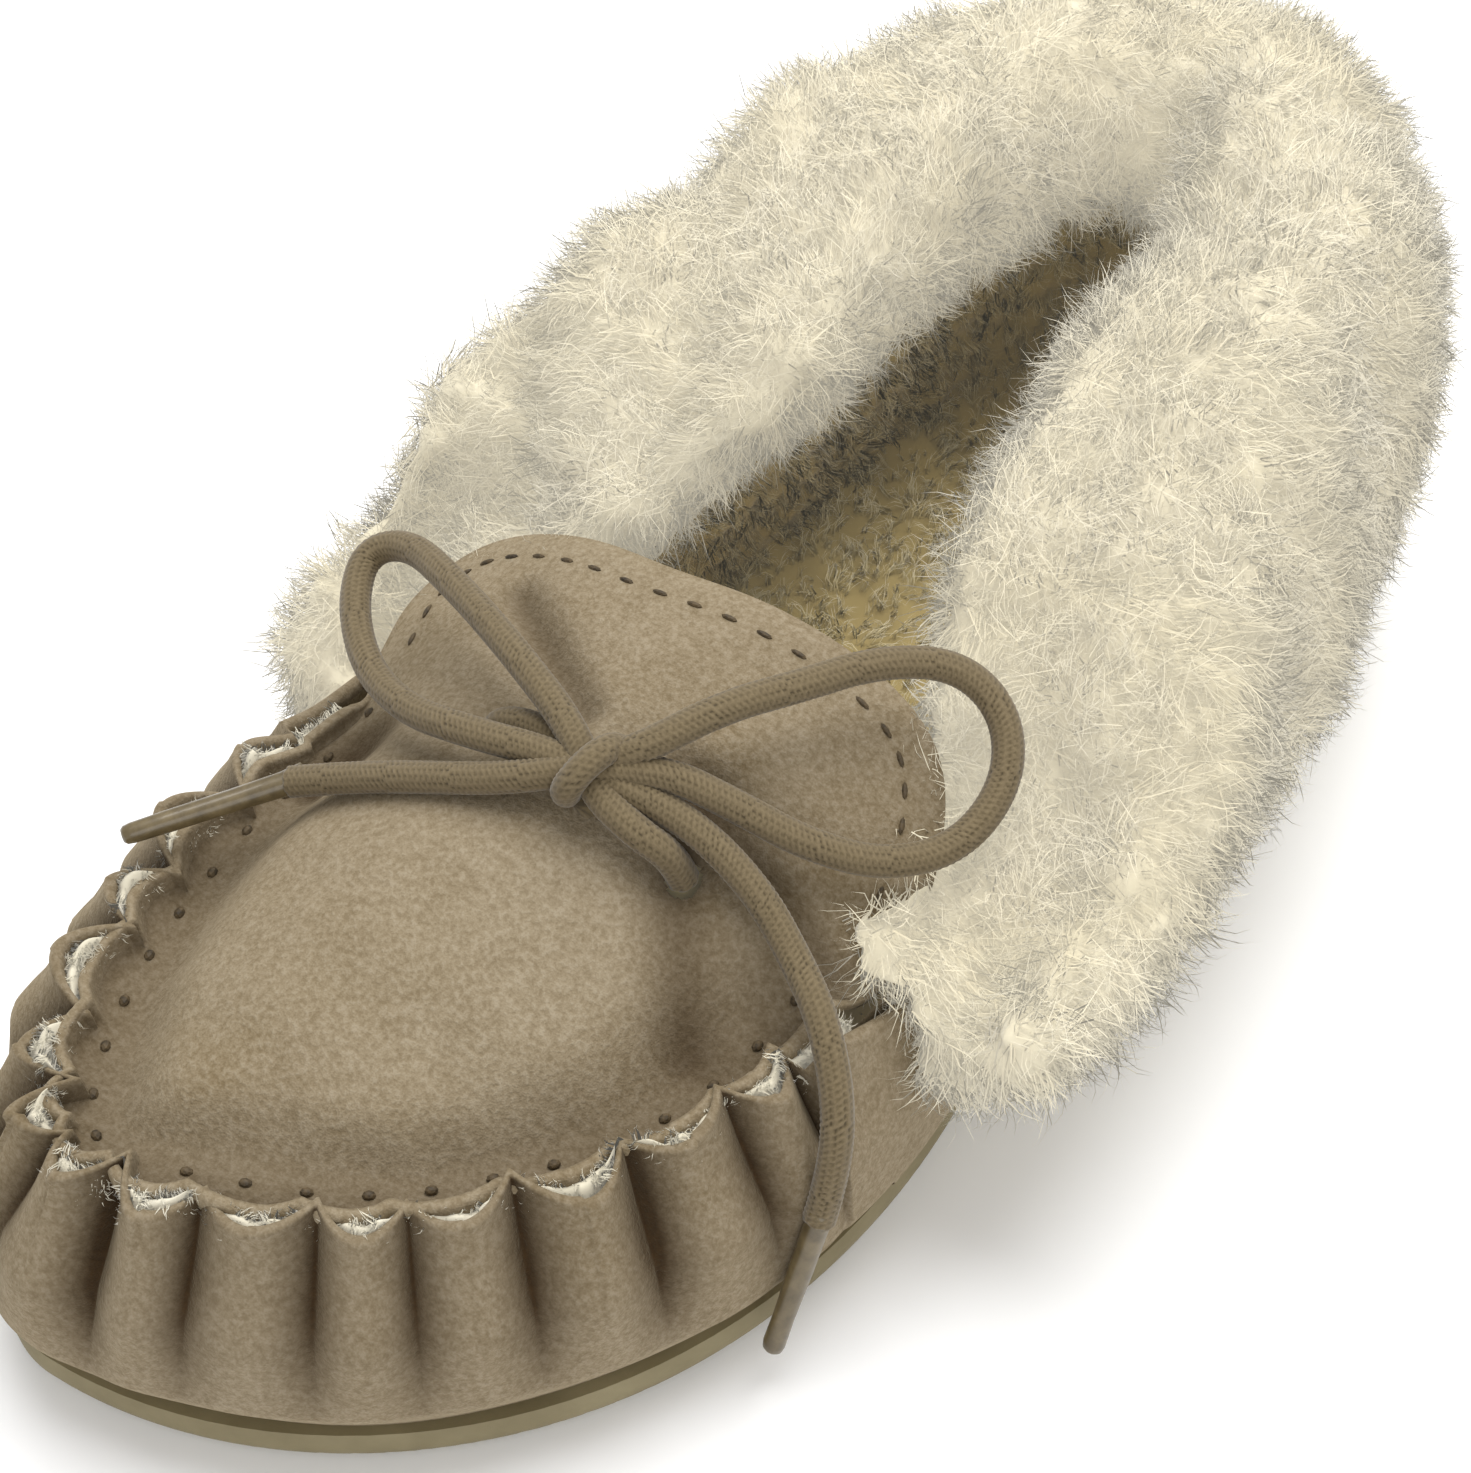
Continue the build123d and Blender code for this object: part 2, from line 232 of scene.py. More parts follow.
def lace_material():
    """Round cotton braid, dyed khaki, with painted shade in the gaps between its crossing strands, which stay
    pale.
    """
    material, tree, shader = new_material("braided_cotton")
    coordinate = add(tree, "ShaderNodeTexCoord").outputs["Object"]
    weave = add(tree, "ShaderNodeAttribute", attribute_name="weave").outputs["Fac"]
    fluff = noise(tree, coordinate, 0.5, 2.0, 0.7)
    # Painted shade: the braid's height darkens the colour almost to black in the gaps between strands.
    colour = ramp(tree, weave, [(0.0, "#352a16"), (0.35, "#5e5034"), (1.0, "#77684c")])
    speck = ramp(tree, fluff, [(0.3, "#8a7c5c"), (0.7, "#ffffff")])
    mixed = add(tree, "ShaderNodeMix", {6: colour, 7: speck}, data_type="RGBA", blend_type="MULTIPLY")
    mixed.inputs[0].default_value = 0.35
    tree.links.new(mixed.outputs[2], shader.inputs["Base Color"])
    bump = add(tree, "ShaderNodeBump", {"Height": fluff}, strength=0.3, distance=0.0002)
    tree.links.new(bump.outputs[0], shader.inputs["Normal"])
    shader.inputs["Roughness"].default_value = 0.85
    shader.inputs["Sheen Weight"].default_value = 0.2
    return material


def aglet_material():
    """Shrunk acetate film round the cord's end: brown, half clear, with a soft gloss."""
    material, tree, shader = new_material("acetate_film")
    coordinate = add(tree, "ShaderNodeTexCoord").outputs["Object"]
    cloud = noise(tree, coordinate, 2.2, 3.0, 0.6)
    tree.links.new(ramp(tree, cloud, [(0.3, "#4d4129"), (0.7, "#6d5f42")]), shader.inputs["Base Color"])
    shader.inputs["Roughness"].default_value = 0.36
    shader.inputs["IOR"].default_value = 1.47
    shader.inputs["Coat Weight"].default_value = 0.3
    return material


def floor_material():
    """Matt white card."""
    material, _, shader = new_material("white_card")
    shader.inputs["Base Color"].default_value = linear("#fbfbfb")
    shader.inputs["Roughness"].default_value = 0.9
    return material


# ---------------------------------------------------------------- the shoe's own lines

SOLE_STATIONS = (
    (9.0, 12.5, -32.0), (25.0, 32.0, -42.5), (50.0, 47.0, -49.5), (78.0, 52.5, -49.5), (106.0, 50.0, -44.5),
    (134.0, 42.0, -37.0), (168.0, 36.5, -33.5), (199.0, 35.0, -33.5), (223.0, 27.5, -26.5),
    (236.0, 12.5, -12.5),
)
SOLE_LENGTH = 240.0
TOE = (-14.5, 0.0)
SOLE_CENTRE = np.array([-4.0, -127.0])
LEAN = 2.5
RIDGE_TOP = 41.0
WALL_HEIGHTS = (6.0, 16.0, 28.0, 41.0, 60.0)
WALL_FRONT = (-1.5, 2.0, 0.0, -8.0, -9.0)
WALL_SIDE = (-1.5, 1.5, 0.0, -3.0, -6.0)
CROWN_SECTIONS = np.array((
    (-130.0, -30.0, 14.0, 30.0, 32.0), (-112.0, -36.0, 22.0, 31.0, 40.0), (-92.0, -40.0, 30.0, 32.0, 46.5),
    (-70.0, -44.0, 38.0, 33.0, 52.0), (-41.0, -44.0, 44.0, 37.4, 57.4), (-30.0, -46.0, 46.0, 41.5, 58.8),
    (-18.0, -47.0, 46.0, 45.0, 60.0), (-6.0, -47.0, 45.0, 49.0, 61.0),
))
TONGUE_EDGE = (
    (41.5, -40.6), (42.0, -33.0), (39.5, -24.0), (33.5, -15.0), (23.0, -11.0), (6.0, -11.8), (-13.0, -13.6),
    (-29.0, -14.0), (-40.0, -17.0), (-45.0, -25.0), (-44.0, -34.0), (-41.0, -40.6),
)


def closed_spline(points, count):
    """Points along the smooth closed curve through the given ones, count of them for each span."""
    points = np.array(points, float)
    size = len(points)
    matrix = np.zeros((size, size))
    for i in range(size):
        matrix[i, [i - 1, i, (i + 1) % size]] = (1 / 6, 4 / 6, 1 / 6)
    control = np.linalg.solve(matrix, points)
    place = np.arange(size * count) / count
    span = place.astype(int)
    u = (place - span)[:, None]
    p = [control[(span + k) % size] for k in (-1, 0, 1, 2)]
    return ((1 - u) ** 3 * p[0] + (3 * u**3 - 6 * u**2 + 4) * p[1]
            + (-3 * u**3 + 3 * u**2 + 3 * u + 1) * p[2] + u**3 * p[3]) / 6


def even_steps(line, count, closed=True):
    """The same line with count points an equal distance apart, and its length."""
    loop = np.vstack([line, line[:1]]) if closed else np.array(line)
    steps = np.linalg.norm(np.diff(loop, axis=0), axis=1)
    reach = np.concatenate([[0], np.cumsum(steps)])
    places = np.linspace(0, reach[-1], count, endpoint=not closed)
    return np.stack([np.interp(places, reach, loop[:, k]) for k in range(loop.shape[1])], 1), reach[-1]


def outward(line):
    """Outward unit normals of a closed counter-clockwise plan line."""
    along = np.roll(line, -1, 0) - np.roll(line, 1, 0)
    along /= np.linalg.norm(along, axis=1)[:, None]
    return np.stack([along[:, 1], -along[:, 0]], 1)


def sole_line(count):
    outer = [(x, length) for length, x, _ in SOLE_STATIONS]
    inner = [(x, length) for length, _, x in reversed(SOLE_STATIONS)]
    points = np.array([TOE] + outer + [(0.0, SOLE_LENGTH)] + inner) + SOLE_CENTRE
    return even_steps(closed_spline(points, 40), count)


def lean(z):
    return LEAN * np.minimum(z, RIDGE_TOP) / RIDGE_TOP


def wall_offset(z, y):
    """Outward offset of the suede wall from the sole line at height z and place y."""
    side = np.clip((np.asarray(y) + 60.0) / 50.0, 0.0, 1.0)
    return np.interp(z, WALL_HEIGHTS, WALL_FRONT) * (1 - side) + np.interp(z, WALL_HEIGHTS, WALL_SIDE) * side


def crown(x, y):
    """Height of the arched top of the apron and tongue."""
    y = np.clip(y, CROWN_SECTIONS[0, 0], CROWN_SECTIONS[-1, 0])
    left, right, edge, top = (np.interp(y, CROWN_SECTIONS[:, 0], CROWN_SECTIONS[:, k]) for k in (1, 2, 3, 4))
    share = (x - (left + right) / 2) / ((right - left) / 2)
    return edge + (top - edge) * (1 - share**2)


def smooth(value):
    value = np.clip(value, 0.0, 1.0)
    return value * value * (3 - 2 * value)


def waves(x, y, size, seed):
    """Soft irregular ups and downs, about -1 to 1, for a plan place, made from a few sines."""
    chance = random.Random(seed)
    total = 0.0
    for _ in range(5):
        angle = chance.uniform(0, math.tau)
        pitch = size * chance.uniform(0.7, 1.5)
        total = total + np.sin((x * math.cos(angle) + y * math.sin(angle)) * math.tau / pitch
                               + chance.uniform(0, math.tau))
    return total / 3.2


# ---------------------------------------------------------------- meshes


def grid_mesh(name, rows, closed, material, shade=None, flip=False):
    """A smooth sheet through rows of millimetre points; closed joins each row's end to its start."""
    rows = np.array(rows, float)
    height, width = rows.shape[:2]
    verts = (rows.reshape(-1, 3) + CENTRING) * MM
    faces = []
    for j in range(height - 1):
        for i in range(width if closed else width - 1):
            k = (i + 1) % width
            face = (j * width + i, j * width + k, (j + 1) * width + k, (j + 1) * width + i)
            faces.append(face[::-1] if flip else face)
    mesh = bpy.data.meshes.new(name)
    mesh.from_pydata([tuple(v) for v in verts], [], faces)
    mesh.polygons.foreach_set("use_smooth", [True] * len(faces))
    # shade: painted shade for each point, multiplied into the suede's colour.
    if shade is not None:
        layer = mesh.attributes.new("shade", "FLOAT", "POINT")
        layer.data.foreach_set("value", np.clip(np.array(shade, float).reshape(-1), 0, 1))
    mesh.materials.append(material)
    piece = bpy.data.objects.new(name, mesh)
    bpy.context.scene.collection.objects.link(piece)
    return piece


def evaluated_copy(source, name):
    """A plain mesh object made from what an object looks like with its modifiers."""
    graph = bpy.context.evaluated_depsgraph_get()
    mesh = bpy.data.meshes.new_from_object(source.evaluated_get(graph), depsgraph=graph)
    mesh.name = name
    piece = bpy.data.objects.new(name, mesh)
    bpy.context.scene.collection.objects.link(piece)
    bpy.data.objects.remove(source)
    return piece


# ---------------------------------------------------------------- the gathered wall

COLUMNS = 1800
WALL_LINE, WALL_LENGTH = sole_line(COLUMNS)
WALL_NORMAL = outward(WALL_LINE)
PLEAT_PITCH = 13.2
PLEAT_START_Y = -47.0


def pleat_places():
    """Distances along the sole line where the wall is pinched in to the apron, and their depths."""
    chance = random.Random(7)
    steps = np.arange(COLUMNS) * WALL_LENGTH / COLUMNS
    front_right = steps[(WALL_LINE[:, 1] < PLEAT_START_Y) & (WALL_LINE[:, 0] > SOLE_CENTRE[0] + TOE[0])].max()
    front_left = steps[(WALL_LINE[:, 1] < PLEAT_START_Y) & (WALL_LINE[:, 0] < SOLE_CENTRE[0] + TOE[0])]
    first = front_left[front_left > WALL_LENGTH / 2].min() - WALL_LENGTH
    count = int((front_right - first) / PLEAT_PITCH)
    places = [first + (k + 0.5 + chance.uniform(-0.16, 0.16)) * (front_right - first) / count
              for k in range(count)]
    depths = [chance.uniform(0.75, 1.15) for _ in places]
    return np.array(places), np.array(depths), first, front_right


PLEATS, PLEAT_DEPTHS, PLEAT_FIRST, PLEAT_LAST = pleat_places()


def pleat_shape(distance):
    """For each distance along the sole line: 0 in a pinch to 1 on a fold's crown, and the pinch's depth."""
    distance = np.where(distance > WALL_LENGTH / 2, distance - WALL_LENGTH, distance)
    index = np.clip(np.searchsorted(PLEATS, distance), 1, len(PLEATS) - 1)
    low, high = PLEATS[index - 1], PLEATS[index]
    share = (distance - low) / (high - low)
    inside = (share > 0) & (share < 1)
    fold = np.where(inside, np.sin(np.pi * np.clip(share, 0, 1)) ** 0.9, 0.9)
    nearest = np.where(share < 0.5, PLEAT_DEPTHS[index - 1], PLEAT_DEPTHS[index])
    ends = smooth((distance - PLEAT_FIRST) / 12.0) * smooth((PLEAT_LAST - distance) / 12.0)
    return fold, nearest * ends


def wall_rows():
    """Rows of the suede wall: up the outside, over the cut edge, and down inside the ridge."""
    distance = np.arange(COLUMNS) * WALL_LENGTH / COLUMNS
    fold, depth = pleat_shape(distance)
    x, y = WALL_LINE.T
    side = smooth((y + 62.0) / 22.0)
    lift = 0.8 * np.sin(distance * 0.23) + 0.7 * (fold - 0.5) * depth
    top = RIDGE_TOP + 0.6 + lift - 4.0 * side
    rows, shades = [], []
    for share in np.linspace(0.0, 1.0, 34):
        z = 5.6 + (top - 5.6) * share
        rise = smooth((z - 11.0) / 24.0)
        out = wall_offset(z, y) + 1.1 * np.sin(math.pi * np.clip((z - 6) / 30, 0, 1))
        out = out + depth * rise * (4.8 * fold - 4.1 + 1.7 * share**3 * fold)
        out = out + 0.5 * waves(x * 1.0 + z * 0.4, y, 17.0, 3) * rise
        rows.append((out, z))
        # Painted shade: darker in the pinches between the folds.
        shades.append(0.10 + depth * rise * (1 - fold) ** 1.1 * (1.7 - 0.6 * share))
    outer_edge, edge_top = rows[-1]
    for step_in, step_up in ((0.5, 0.35), (1.1, 0.35), (1.6, 0.0), (1.8, -1.2), (2.2, -4.0), (2.8, -8.0)):
        rows.append((outer_edge - step_in, edge_top + step_up))
        # Painted shade: the cut edge a little darker, and the suede going down inside the ridge much darker.
        shades.append(np.full(COLUMNS, 0.15 if step_up > -1 else 0.5))
    points = []
    for out, z in rows:
        z = z + np.zeros(COLUMNS)
        points.append(np.stack([x + WALL_NORMAL[:, 0] * out + lean(z), y + WALL_NORMAL[:, 1] * out, z], 1))
    return np.array(points), np.array(shades)


def make_wall(suede):
    points, shades = wall_rows()
    y = WALL_LINE[:, 1]
    inside_front = y < -28.0
    start = np.where(inside_front & ~np.roll(inside_front, 1))[0][0]
    order = np.roll(np.arange(COLUMNS), -start)[:inside_front.sum()]
    wall = grid_mesh("gathered_toe_wall", points[:, order], False, suede, shades[:, order])
    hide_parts("gathered_wall")
    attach(wall, SHOE)
    return wall


# ---------------------------------------------------------------- apron and tongue

LIP_OFFSET = -12.6
RINGS = 130
AROUND = 720
FOLDS = (
    ((-27.0, -25.0), (-4.0, -38.5), 2.6, 2.6),
    ((10.0, -37.0), (38.0, -43.0), 2.0, 2.8),
    ((13.0, -41.0), (30.0, -62.0), 1.4, 4.5),
    ((-30.0, -46.0), (-34.0, -60.0), 1.5, 3.6),
)
LACE_HOLES = ((-12.5, -46.5), (18.5, -47.3))


def upper_outline():
    """The plan edge of the one piece of suede that is apron in front and tongue behind."""
    x, y = WALL_LINE.T
    edge = np.stack([x + WALL_NORMAL[:, 0] * LIP_OFFSET + lean(40.0), y + WALL_NORMAL[:, 1] * LIP_OFFSET], 1)
    front = edge[:, 1] < -46.0
    start = np.where(front & ~np.roll(front, 1))[0][0]
    seam = edge[np.roll(np.arange(COLUMNS), -start)[:front.sum()]]
    line = np.vstack([seam[::60], seam[-1:], TONGUE_EDGE])
    line = closed_spline(line[np.r_[True, np.linalg.norm(np.diff(line, axis=0), axis=1) > 2.5]], 30)
    line, _ = even_steps(line, AROUND)
    return line


def distance_to(x, y, start, end):
    """Distance from plan places to a short line, and how far along it they are."""
    start, end = np.array(start), np.array(end)
    along = end - start
    share = ((x - start[0]) * along[0] + (y - start[1]) * along[1]) / (along @ along)
    held = np.clip(share, 0, 1)
    return np.hypot(x - start[0] - held * along[0], y - start[1] - held * along[1]), share


def upper_height(x, y, inset):
    """Height of the suede at a plan place that is inset this far from its edge, and its painted shade in the
    trough along the seam and in the folds.
    """
    apron = smooth((-44.0 - y) / 8.0)
    z = crown(x, y) + 0.5 * waves(x, y, 34.0, 5) + 0.25 * waves(x, y, 15.0, 6)
    shade = np.zeros_like(z)
    trough = np.exp(-((inset - 6.0) / 4.5) ** 2)
    z = z - apron * 3.0 * trough
    # Painted shade in the trough along the seam.
    shade = shade + apron * 0.40 * np.exp(-((inset - 3.0) / 6.0) ** 2)
    for start, end, depth, width in FOLDS:
        gap, share = distance_to(x, y, start, end)
        held = smooth((1.25 - share) / 0.35) * smooth((share + 0.25) / 0.35)
        dent = np.exp(-(gap / width) ** 2) * held
        z = z - depth * dent
        # Painted shade in each fold's crease.
        shade = shade + 0.55 * dent
    for hx, hy in LACE_HOLES:
        z = z - 1.2 * np.exp(-(np.hypot(x - hx, y - hy) / 3.0) ** 2)
    return z, shade


def seam_pull(line):
    """For each outline place: how much it is seam (1) or tongue edge (0), and its pleat shape."""
    nearest = np.array([np.argmin(np.hypot(*(WALL_LINE - p).T)) for p in line])
    distance = nearest * WALL_LENGTH / COLUMNS
    fold, depth = pleat_shape(distance)
    seam = smooth((-41.0 - line[:, 1]) / 6.0)
    return seam, fold, depth


def make_upper(suede):
    line = upper_outline()
    normal = outward(line)
    seam, fold, depth = seam_pull(line)
    middle_y = np.clip(line[:, 1], -92.0, -28.0)
    middle = np.stack([np.interp(middle_y, (-92.0, -60.0, -28.0), (-6.0, -1.0, 0.0)), middle_y], 1)
    steps = 1 - (1 - np.linspace(0.0, 1.0, RINGS)) ** 1.5
    rows, shades = [], []
    reach = np.linalg.norm(line - middle, axis=1)
    for share in steps:
        place = middle + (line - middle) * share
        inset = (1 - share) * reach
        z, shade = upper_height(place[:, 0], place[:, 1], inset)
        curl = np.exp(-inset / 1.6)
        wave = seam * depth * (fold - 0.5)
        z = z + seam * curl * (RIDGE_TOP - 2.2 - z) * 0.75
        drop = (1 - seam) * np.exp(-inset / 2.5) * 0.7
        place = place + normal * (wave * 2.2 * np.exp(-inset / 3.5))[:, None]
        rows.append(np.stack([place[:, 0], place[:, 1], z - drop], 1))
        # Painted shade: darker where the edge curls up into the seam.
        shades.append(shade + seam * 0.25 * curl)
    edge = rows[-1]
    rise = seam * np.maximum(RIDGE_TOP + 0.2 + 0.5 * np.sin(np.arange(AROUND) * 0.21) - edge[:, 2], 0.0)
    for share, out in ((0.35, 0.25), (0.7, 0.35), (1.0, 0.4)):
        rows.append(edge + np.stack([normal[:, 0] * out * seam, normal[:, 1] * out * seam, rise * share], 1))
        # Painted shade on the upturned lip.
        shades.append(seam * 0.3)
    top = rows[-1]
    for out, down in ((0.5, -0.25), (1.2, -0.2), (1.6, 0.15), (1.7, 1.2)):
        move = seam * out + (1 - seam) * min(out, 0.7) * (0.8 if down < 1 else 0.5)
        rows.append(top + np.stack([normal[:, 0] * move, normal[:, 1] * move,
                                    -(seam * down + (1 - seam) * (down + 0.25))], 1))
        shades.append(np.full(AROUND, 0.05))
    under = rows[-1]
    for drop, back in ((3.5, 0.2), (7.0, 0.4)):
        inward = (1 - seam) * (drop * 0.9)
        rows.append(under - np.stack([normal[:, 0] * inward, normal[:, 1] * inward,
                                      seam * drop - (1 - seam) * 0.2 * back], 1))
        # Painted shade on the underside that drops into the shoe.
        shades.append(np.full(AROUND, 0.5))
    upper = grid_mesh("apron_and_tongue", rows, True, suede, shades)
    close_centre(upper)
    punch(upper, LACE_HOLES, 2.3)
    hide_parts("apron", "tongue")
    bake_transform(upper)
    return upper


def close_centre(piece):
    """Merges the crowded innermost ring of a ringed sheet, and updates its normals."""
    mesh = bmesh.new()
    mesh.from_mesh(piece.data)
    bmesh.ops.remove_doubles(mesh, verts=mesh.verts, dist=0.00003)
    mesh.normal_update()
    mesh.to_mesh(piece.data)
    mesh.free()


def punch(piece, places, radius):
    """Cuts round holes through a sheet at plan places."""
    mesh = bmesh.new()
    mesh.from_mesh(piece.data)
    centres = [metres((x, y, 0)) for x, y in places]
    doomed = [face for face in mesh.faces
              if any((face.calc_center_median().xy - c.xy).length < radius * MM for c in centres)]
    bmesh.ops.delete(mesh, geom=doomed, context="FACES")
    mesh.to_mesh(piece.data)
    mesh.free()


# ---------------------------------------------------------------- quarters and linings


def shell_rows(heights, inset, width=720):
    line, _ = sole_line(width)
    normal = outward(line)
    rows = []
    for z in heights:
        out = wall_offset(z, line[:, 1]) - inset
        rows.append(np.stack([line[:, 0] + normal[:, 0] * out + lean(z), line[:, 1] + normal[:, 1] * out,
                              np.full(width, float(z))], 1))
    return np.array(rows), line


def quarter_top(y):
    return np.interp(y, (-44.0, -10.0, 30.0, 60.0), (38.0, 43.0, 53.0, 58.0))


def make_quarters(suede):
    """The suede sides behind the gathers; only their front corners show below the collar."""
    for name, side, node in (("quarter_outer_suede", 1, "quarter_outer"),
                             ("quarter_inner_suede", -1, "quarter_inner")):
        rows, line = shell_rows(np.linspace(6.0, 58.0, 27), 0.1)
        rows[..., 2] = 6.0 + (rows[..., 2] - 6.0) / 52.0 * (quarter_top(rows[..., 1]) - 6.0)
        keep = (line[:, 1] > -46.0) & ((line[:, 0] - SOLE_CENTRE[0]) * side >= -0.8)
        start = np.where(keep & ~np.roll(keep, 1))[0][0]
        order = np.roll(np.arange(len(line)), -start)[:keep.sum()]
        # Painted shade: the quarters, which sit under the collar, are darkened a little overall and in soft
        # waves.
        shade = 0.14 + 0.08 * waves(rows[:, order, 1] + rows[:, order, 0], rows[:, order, 2], 12.0, 9)
        piece = grid_mesh(name, rows[:, order], False, suede, shade)
        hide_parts(node)
        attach(piece, SHOE)


def make_lining(pile):
    """The short fleece that lines the shoe: its walls, and the sole under the foot."""
    heights = np.linspace(15.0, 58.0, 40)
    rows, line = shell_rows(heights, 9.2)
    limit = np.interp(line[:, 1], (-130, -112, -92, -70, -44, -10, 30, 60), (24, 26, 27, 28, 32, 38, 53, 60))
    rows[..., 2] = 15.0 + (rows[..., 2] - 15.0) / 43.0 * (limit - 15.0)
    bumps = 0.7 * waves(rows[..., 1] + rows[..., 2], rows[..., 0] - rows[..., 2], 9.0, 21)
    centre = np.array([SOLE_CENTRE[0], 0.0])
    inward = centre - rows[..., :2]
    inward[..., 1] = 0
    inward /= np.maximum(np.linalg.norm(inward, axis=-1, keepdims=True), 1.0)
    rows[..., :2] += inward * bumps[..., None]
    walls = grid_mesh("fleece_side_lining", rows, True, pile, flip=True)
    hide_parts("toe_fleece", "quarter_fleece_outer", "quarter_fleece_inner")
    sock_rows = []
    for share in np.linspace(0.0, 1.03, 32):
        edge, _ = shell_rows([17.0], 9.0)
        edge = edge[0]
        spine = np.stack([np.full(len(edge), SOLE_CENTRE[0] + 1.0), np.clip(edge[:, 1], -90.0, 92.0)], 1)
        place = spine + (edge[:, :2] - spine) * share
        z = 17.3 + 0.8 * waves(place[:, 0], place[:, 1], 11.0, 12)
        sock_rows.append(np.stack([place[:, 0], place[:, 1], z], 1))
    sock = grid_mesh("fleece_sock_lining", sock_rows, True, pile)
    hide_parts("sock_fleece")
    for piece in (walls, sock):
        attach(piece, SHOE)
    return walls, sock


def make_crown_lining(pile):
    """The fleece under the apron and tongue, seen through the opening."""
    pieces = []
    for name, node, body, y_low, y_high in (("apron_fleece_lining", "apron_fleece", SHOE, -110.0, -41.6),
                                            ("tongue_fleece_lining", "tongue_fleece", FLAP, -40.4, -16.5)):
        rows = []
        for y in np.linspace(y_low, y_high, 40):
            widths = np.interp(y, (-110.0, -92.0, -70.0, -41.0, -24.0, -16.5),
                               (9.0, 25.0, 32.0, 33.0, 31.0, 17.0))
            x = np.linspace(-widths, widths, 60) + np.interp(y, (-110, -70, -40), (-6.0, -2.0, 0.0))
            z = crown(x, y) - 5.4 - np.interp(y, (-60.0, -42.0), (3.0, 0.0)) - 0.6 * waves(x, y, 8.0, 31)
            rows.append(np.stack([x, np.full(60, y), z], 1))
        piece = grid_mesh(name, rows, False, pile, flip=True)
        solid = piece.modifiers.new("pile", "SOLIDIFY")
        solid.thickness = 2.4 * MM
        solid.offset = 0.0
        piece = evaluated_copy(piece, name)
        mark_skin(piece, 0.1)
        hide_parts(node)
        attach(piece, body)
        pieces.append(piece)
    return pieces


def make_ridge_fleece(pile):
    """The fleece that fills the pockets between the wall's scalloped edge and the apron's edge."""
    fold, depth = pleat_shape(np.arange(COLUMNS) * WALL_LENGTH / COLUMNS)
    x, y = WALL_LINE.T
    front = y < -45.0
    start = np.where(front & ~np.roll(front, 1))[0][0]
    order = np.roll(np.arange(COLUMNS), -start)[:front.sum()]
    rows = []
    outer = wall_offset(RIDGE_TOP, y) + depth * (6.5 * fold - 4.1) - 1.0
    inner = np.full(COLUMNS, LIP_OFFSET + 1.4) + 1.2 * depth * (fold - 0.5)
    for share in np.linspace(0, 1, 22):
        out = inner + (outer - inner) * share
        swell = np.sin(math.pi * share)
        z = 38.2 + swell * (3.8 + 1.0 * waves(x * 1.0, y, 5.0, 44)) * np.clip(depth, 0.3, 1) - 1.0 * share
        rows.append(np.stack([x + WALL_NORMAL[:, 0] * out + lean(38), y + WALL_NORMAL[:, 1] * out, z], 1))
    piece = grid_mesh("ridge_fleece_packing", np.array(rows)[:, order], False, pile, flip=True)
    mark_skin(piece, 0.6)
    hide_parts("ridge_fleece")
    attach(piece, SHOE)
    return piece


# ---------------------------------------------------------------- wool

# Locks of fibres to a square metre of skin.
COLLAR_DENSITY = 560000.0
LINING_DENSITY = 320000.0
TONGUE_DENSITY = 200000.0
RIDGE_DENSITY = 1500000.0


def make_lock(name, seed, fibres, length, spread, width):
    """A lock of wool: a few flat fibres that leave the skin together, curl over and close to a tip."""
    chance = random.Random(seed)
    verts, faces, along = [], [], []
    steps = (0.0, 0.38, 0.74, 1.0)
    for _ in range(fibres):
        bend, wave_turn = chance.uniform(0.25, 0.85), chance.uniform(0, math.tau)
        angle = chance.uniform(0, math.tau)
        root = Vector((math.cos(angle), math.sin(angle), 0)) * spread * chance.uniform(0.3, 1.0)
        tip = root * chance.uniform(0.3, 1.3)
        curl = Vector((1.0, chance.uniform(-0.9, 0.9), 0)).normalized() * bend
        reach = length * chance.uniform(0.72, 1.1)
        face_turn = chance.uniform(0, math.pi)
        across = Vector((math.cos(face_turn), math.sin(face_turn), 0))
        base = len(verts)
        for k, share in enumerate(steps):
            crimp = 0.05 * math.sin(share * 9.0 + wave_turn)
            rise = Vector((crimp, crimp * 0.7, share - 0.35 * share**3))
            middle = root.lerp(tip, share) + (curl * share**2 + rise) * reach
            half = across * width * (1 - 0.75 * share) / 2
            points = [middle - half, middle + half] if k < 3 else [middle]
            verts += [p * MM for p in points]
            along += [share] * len(points)
        faces += [(base, base + 1, base + 3, base + 2), (base + 2, base + 3, base + 5, base + 4),
                  (base + 4, base + 5, base + 6)]
    mesh = bpy.data.meshes.new(name)
    mesh.from_pydata([tuple(v) for v in verts], [], faces)
    layer = mesh.attributes.new("along", "FLOAT", "POINT")
    layer.data.foreach_set("value", along)
    lock = bpy.data.objects.new(name, mesh)
    return lock


def make_lock_set(name, seed, **sizes):
    """Four different locks in a collection that only the pile trees read."""
    group = bpy.data.collections.new(name)
    for k in range(4):
        group.objects.link(make_lock(f"{name}_{k}", seed + k, **sizes))
    return group


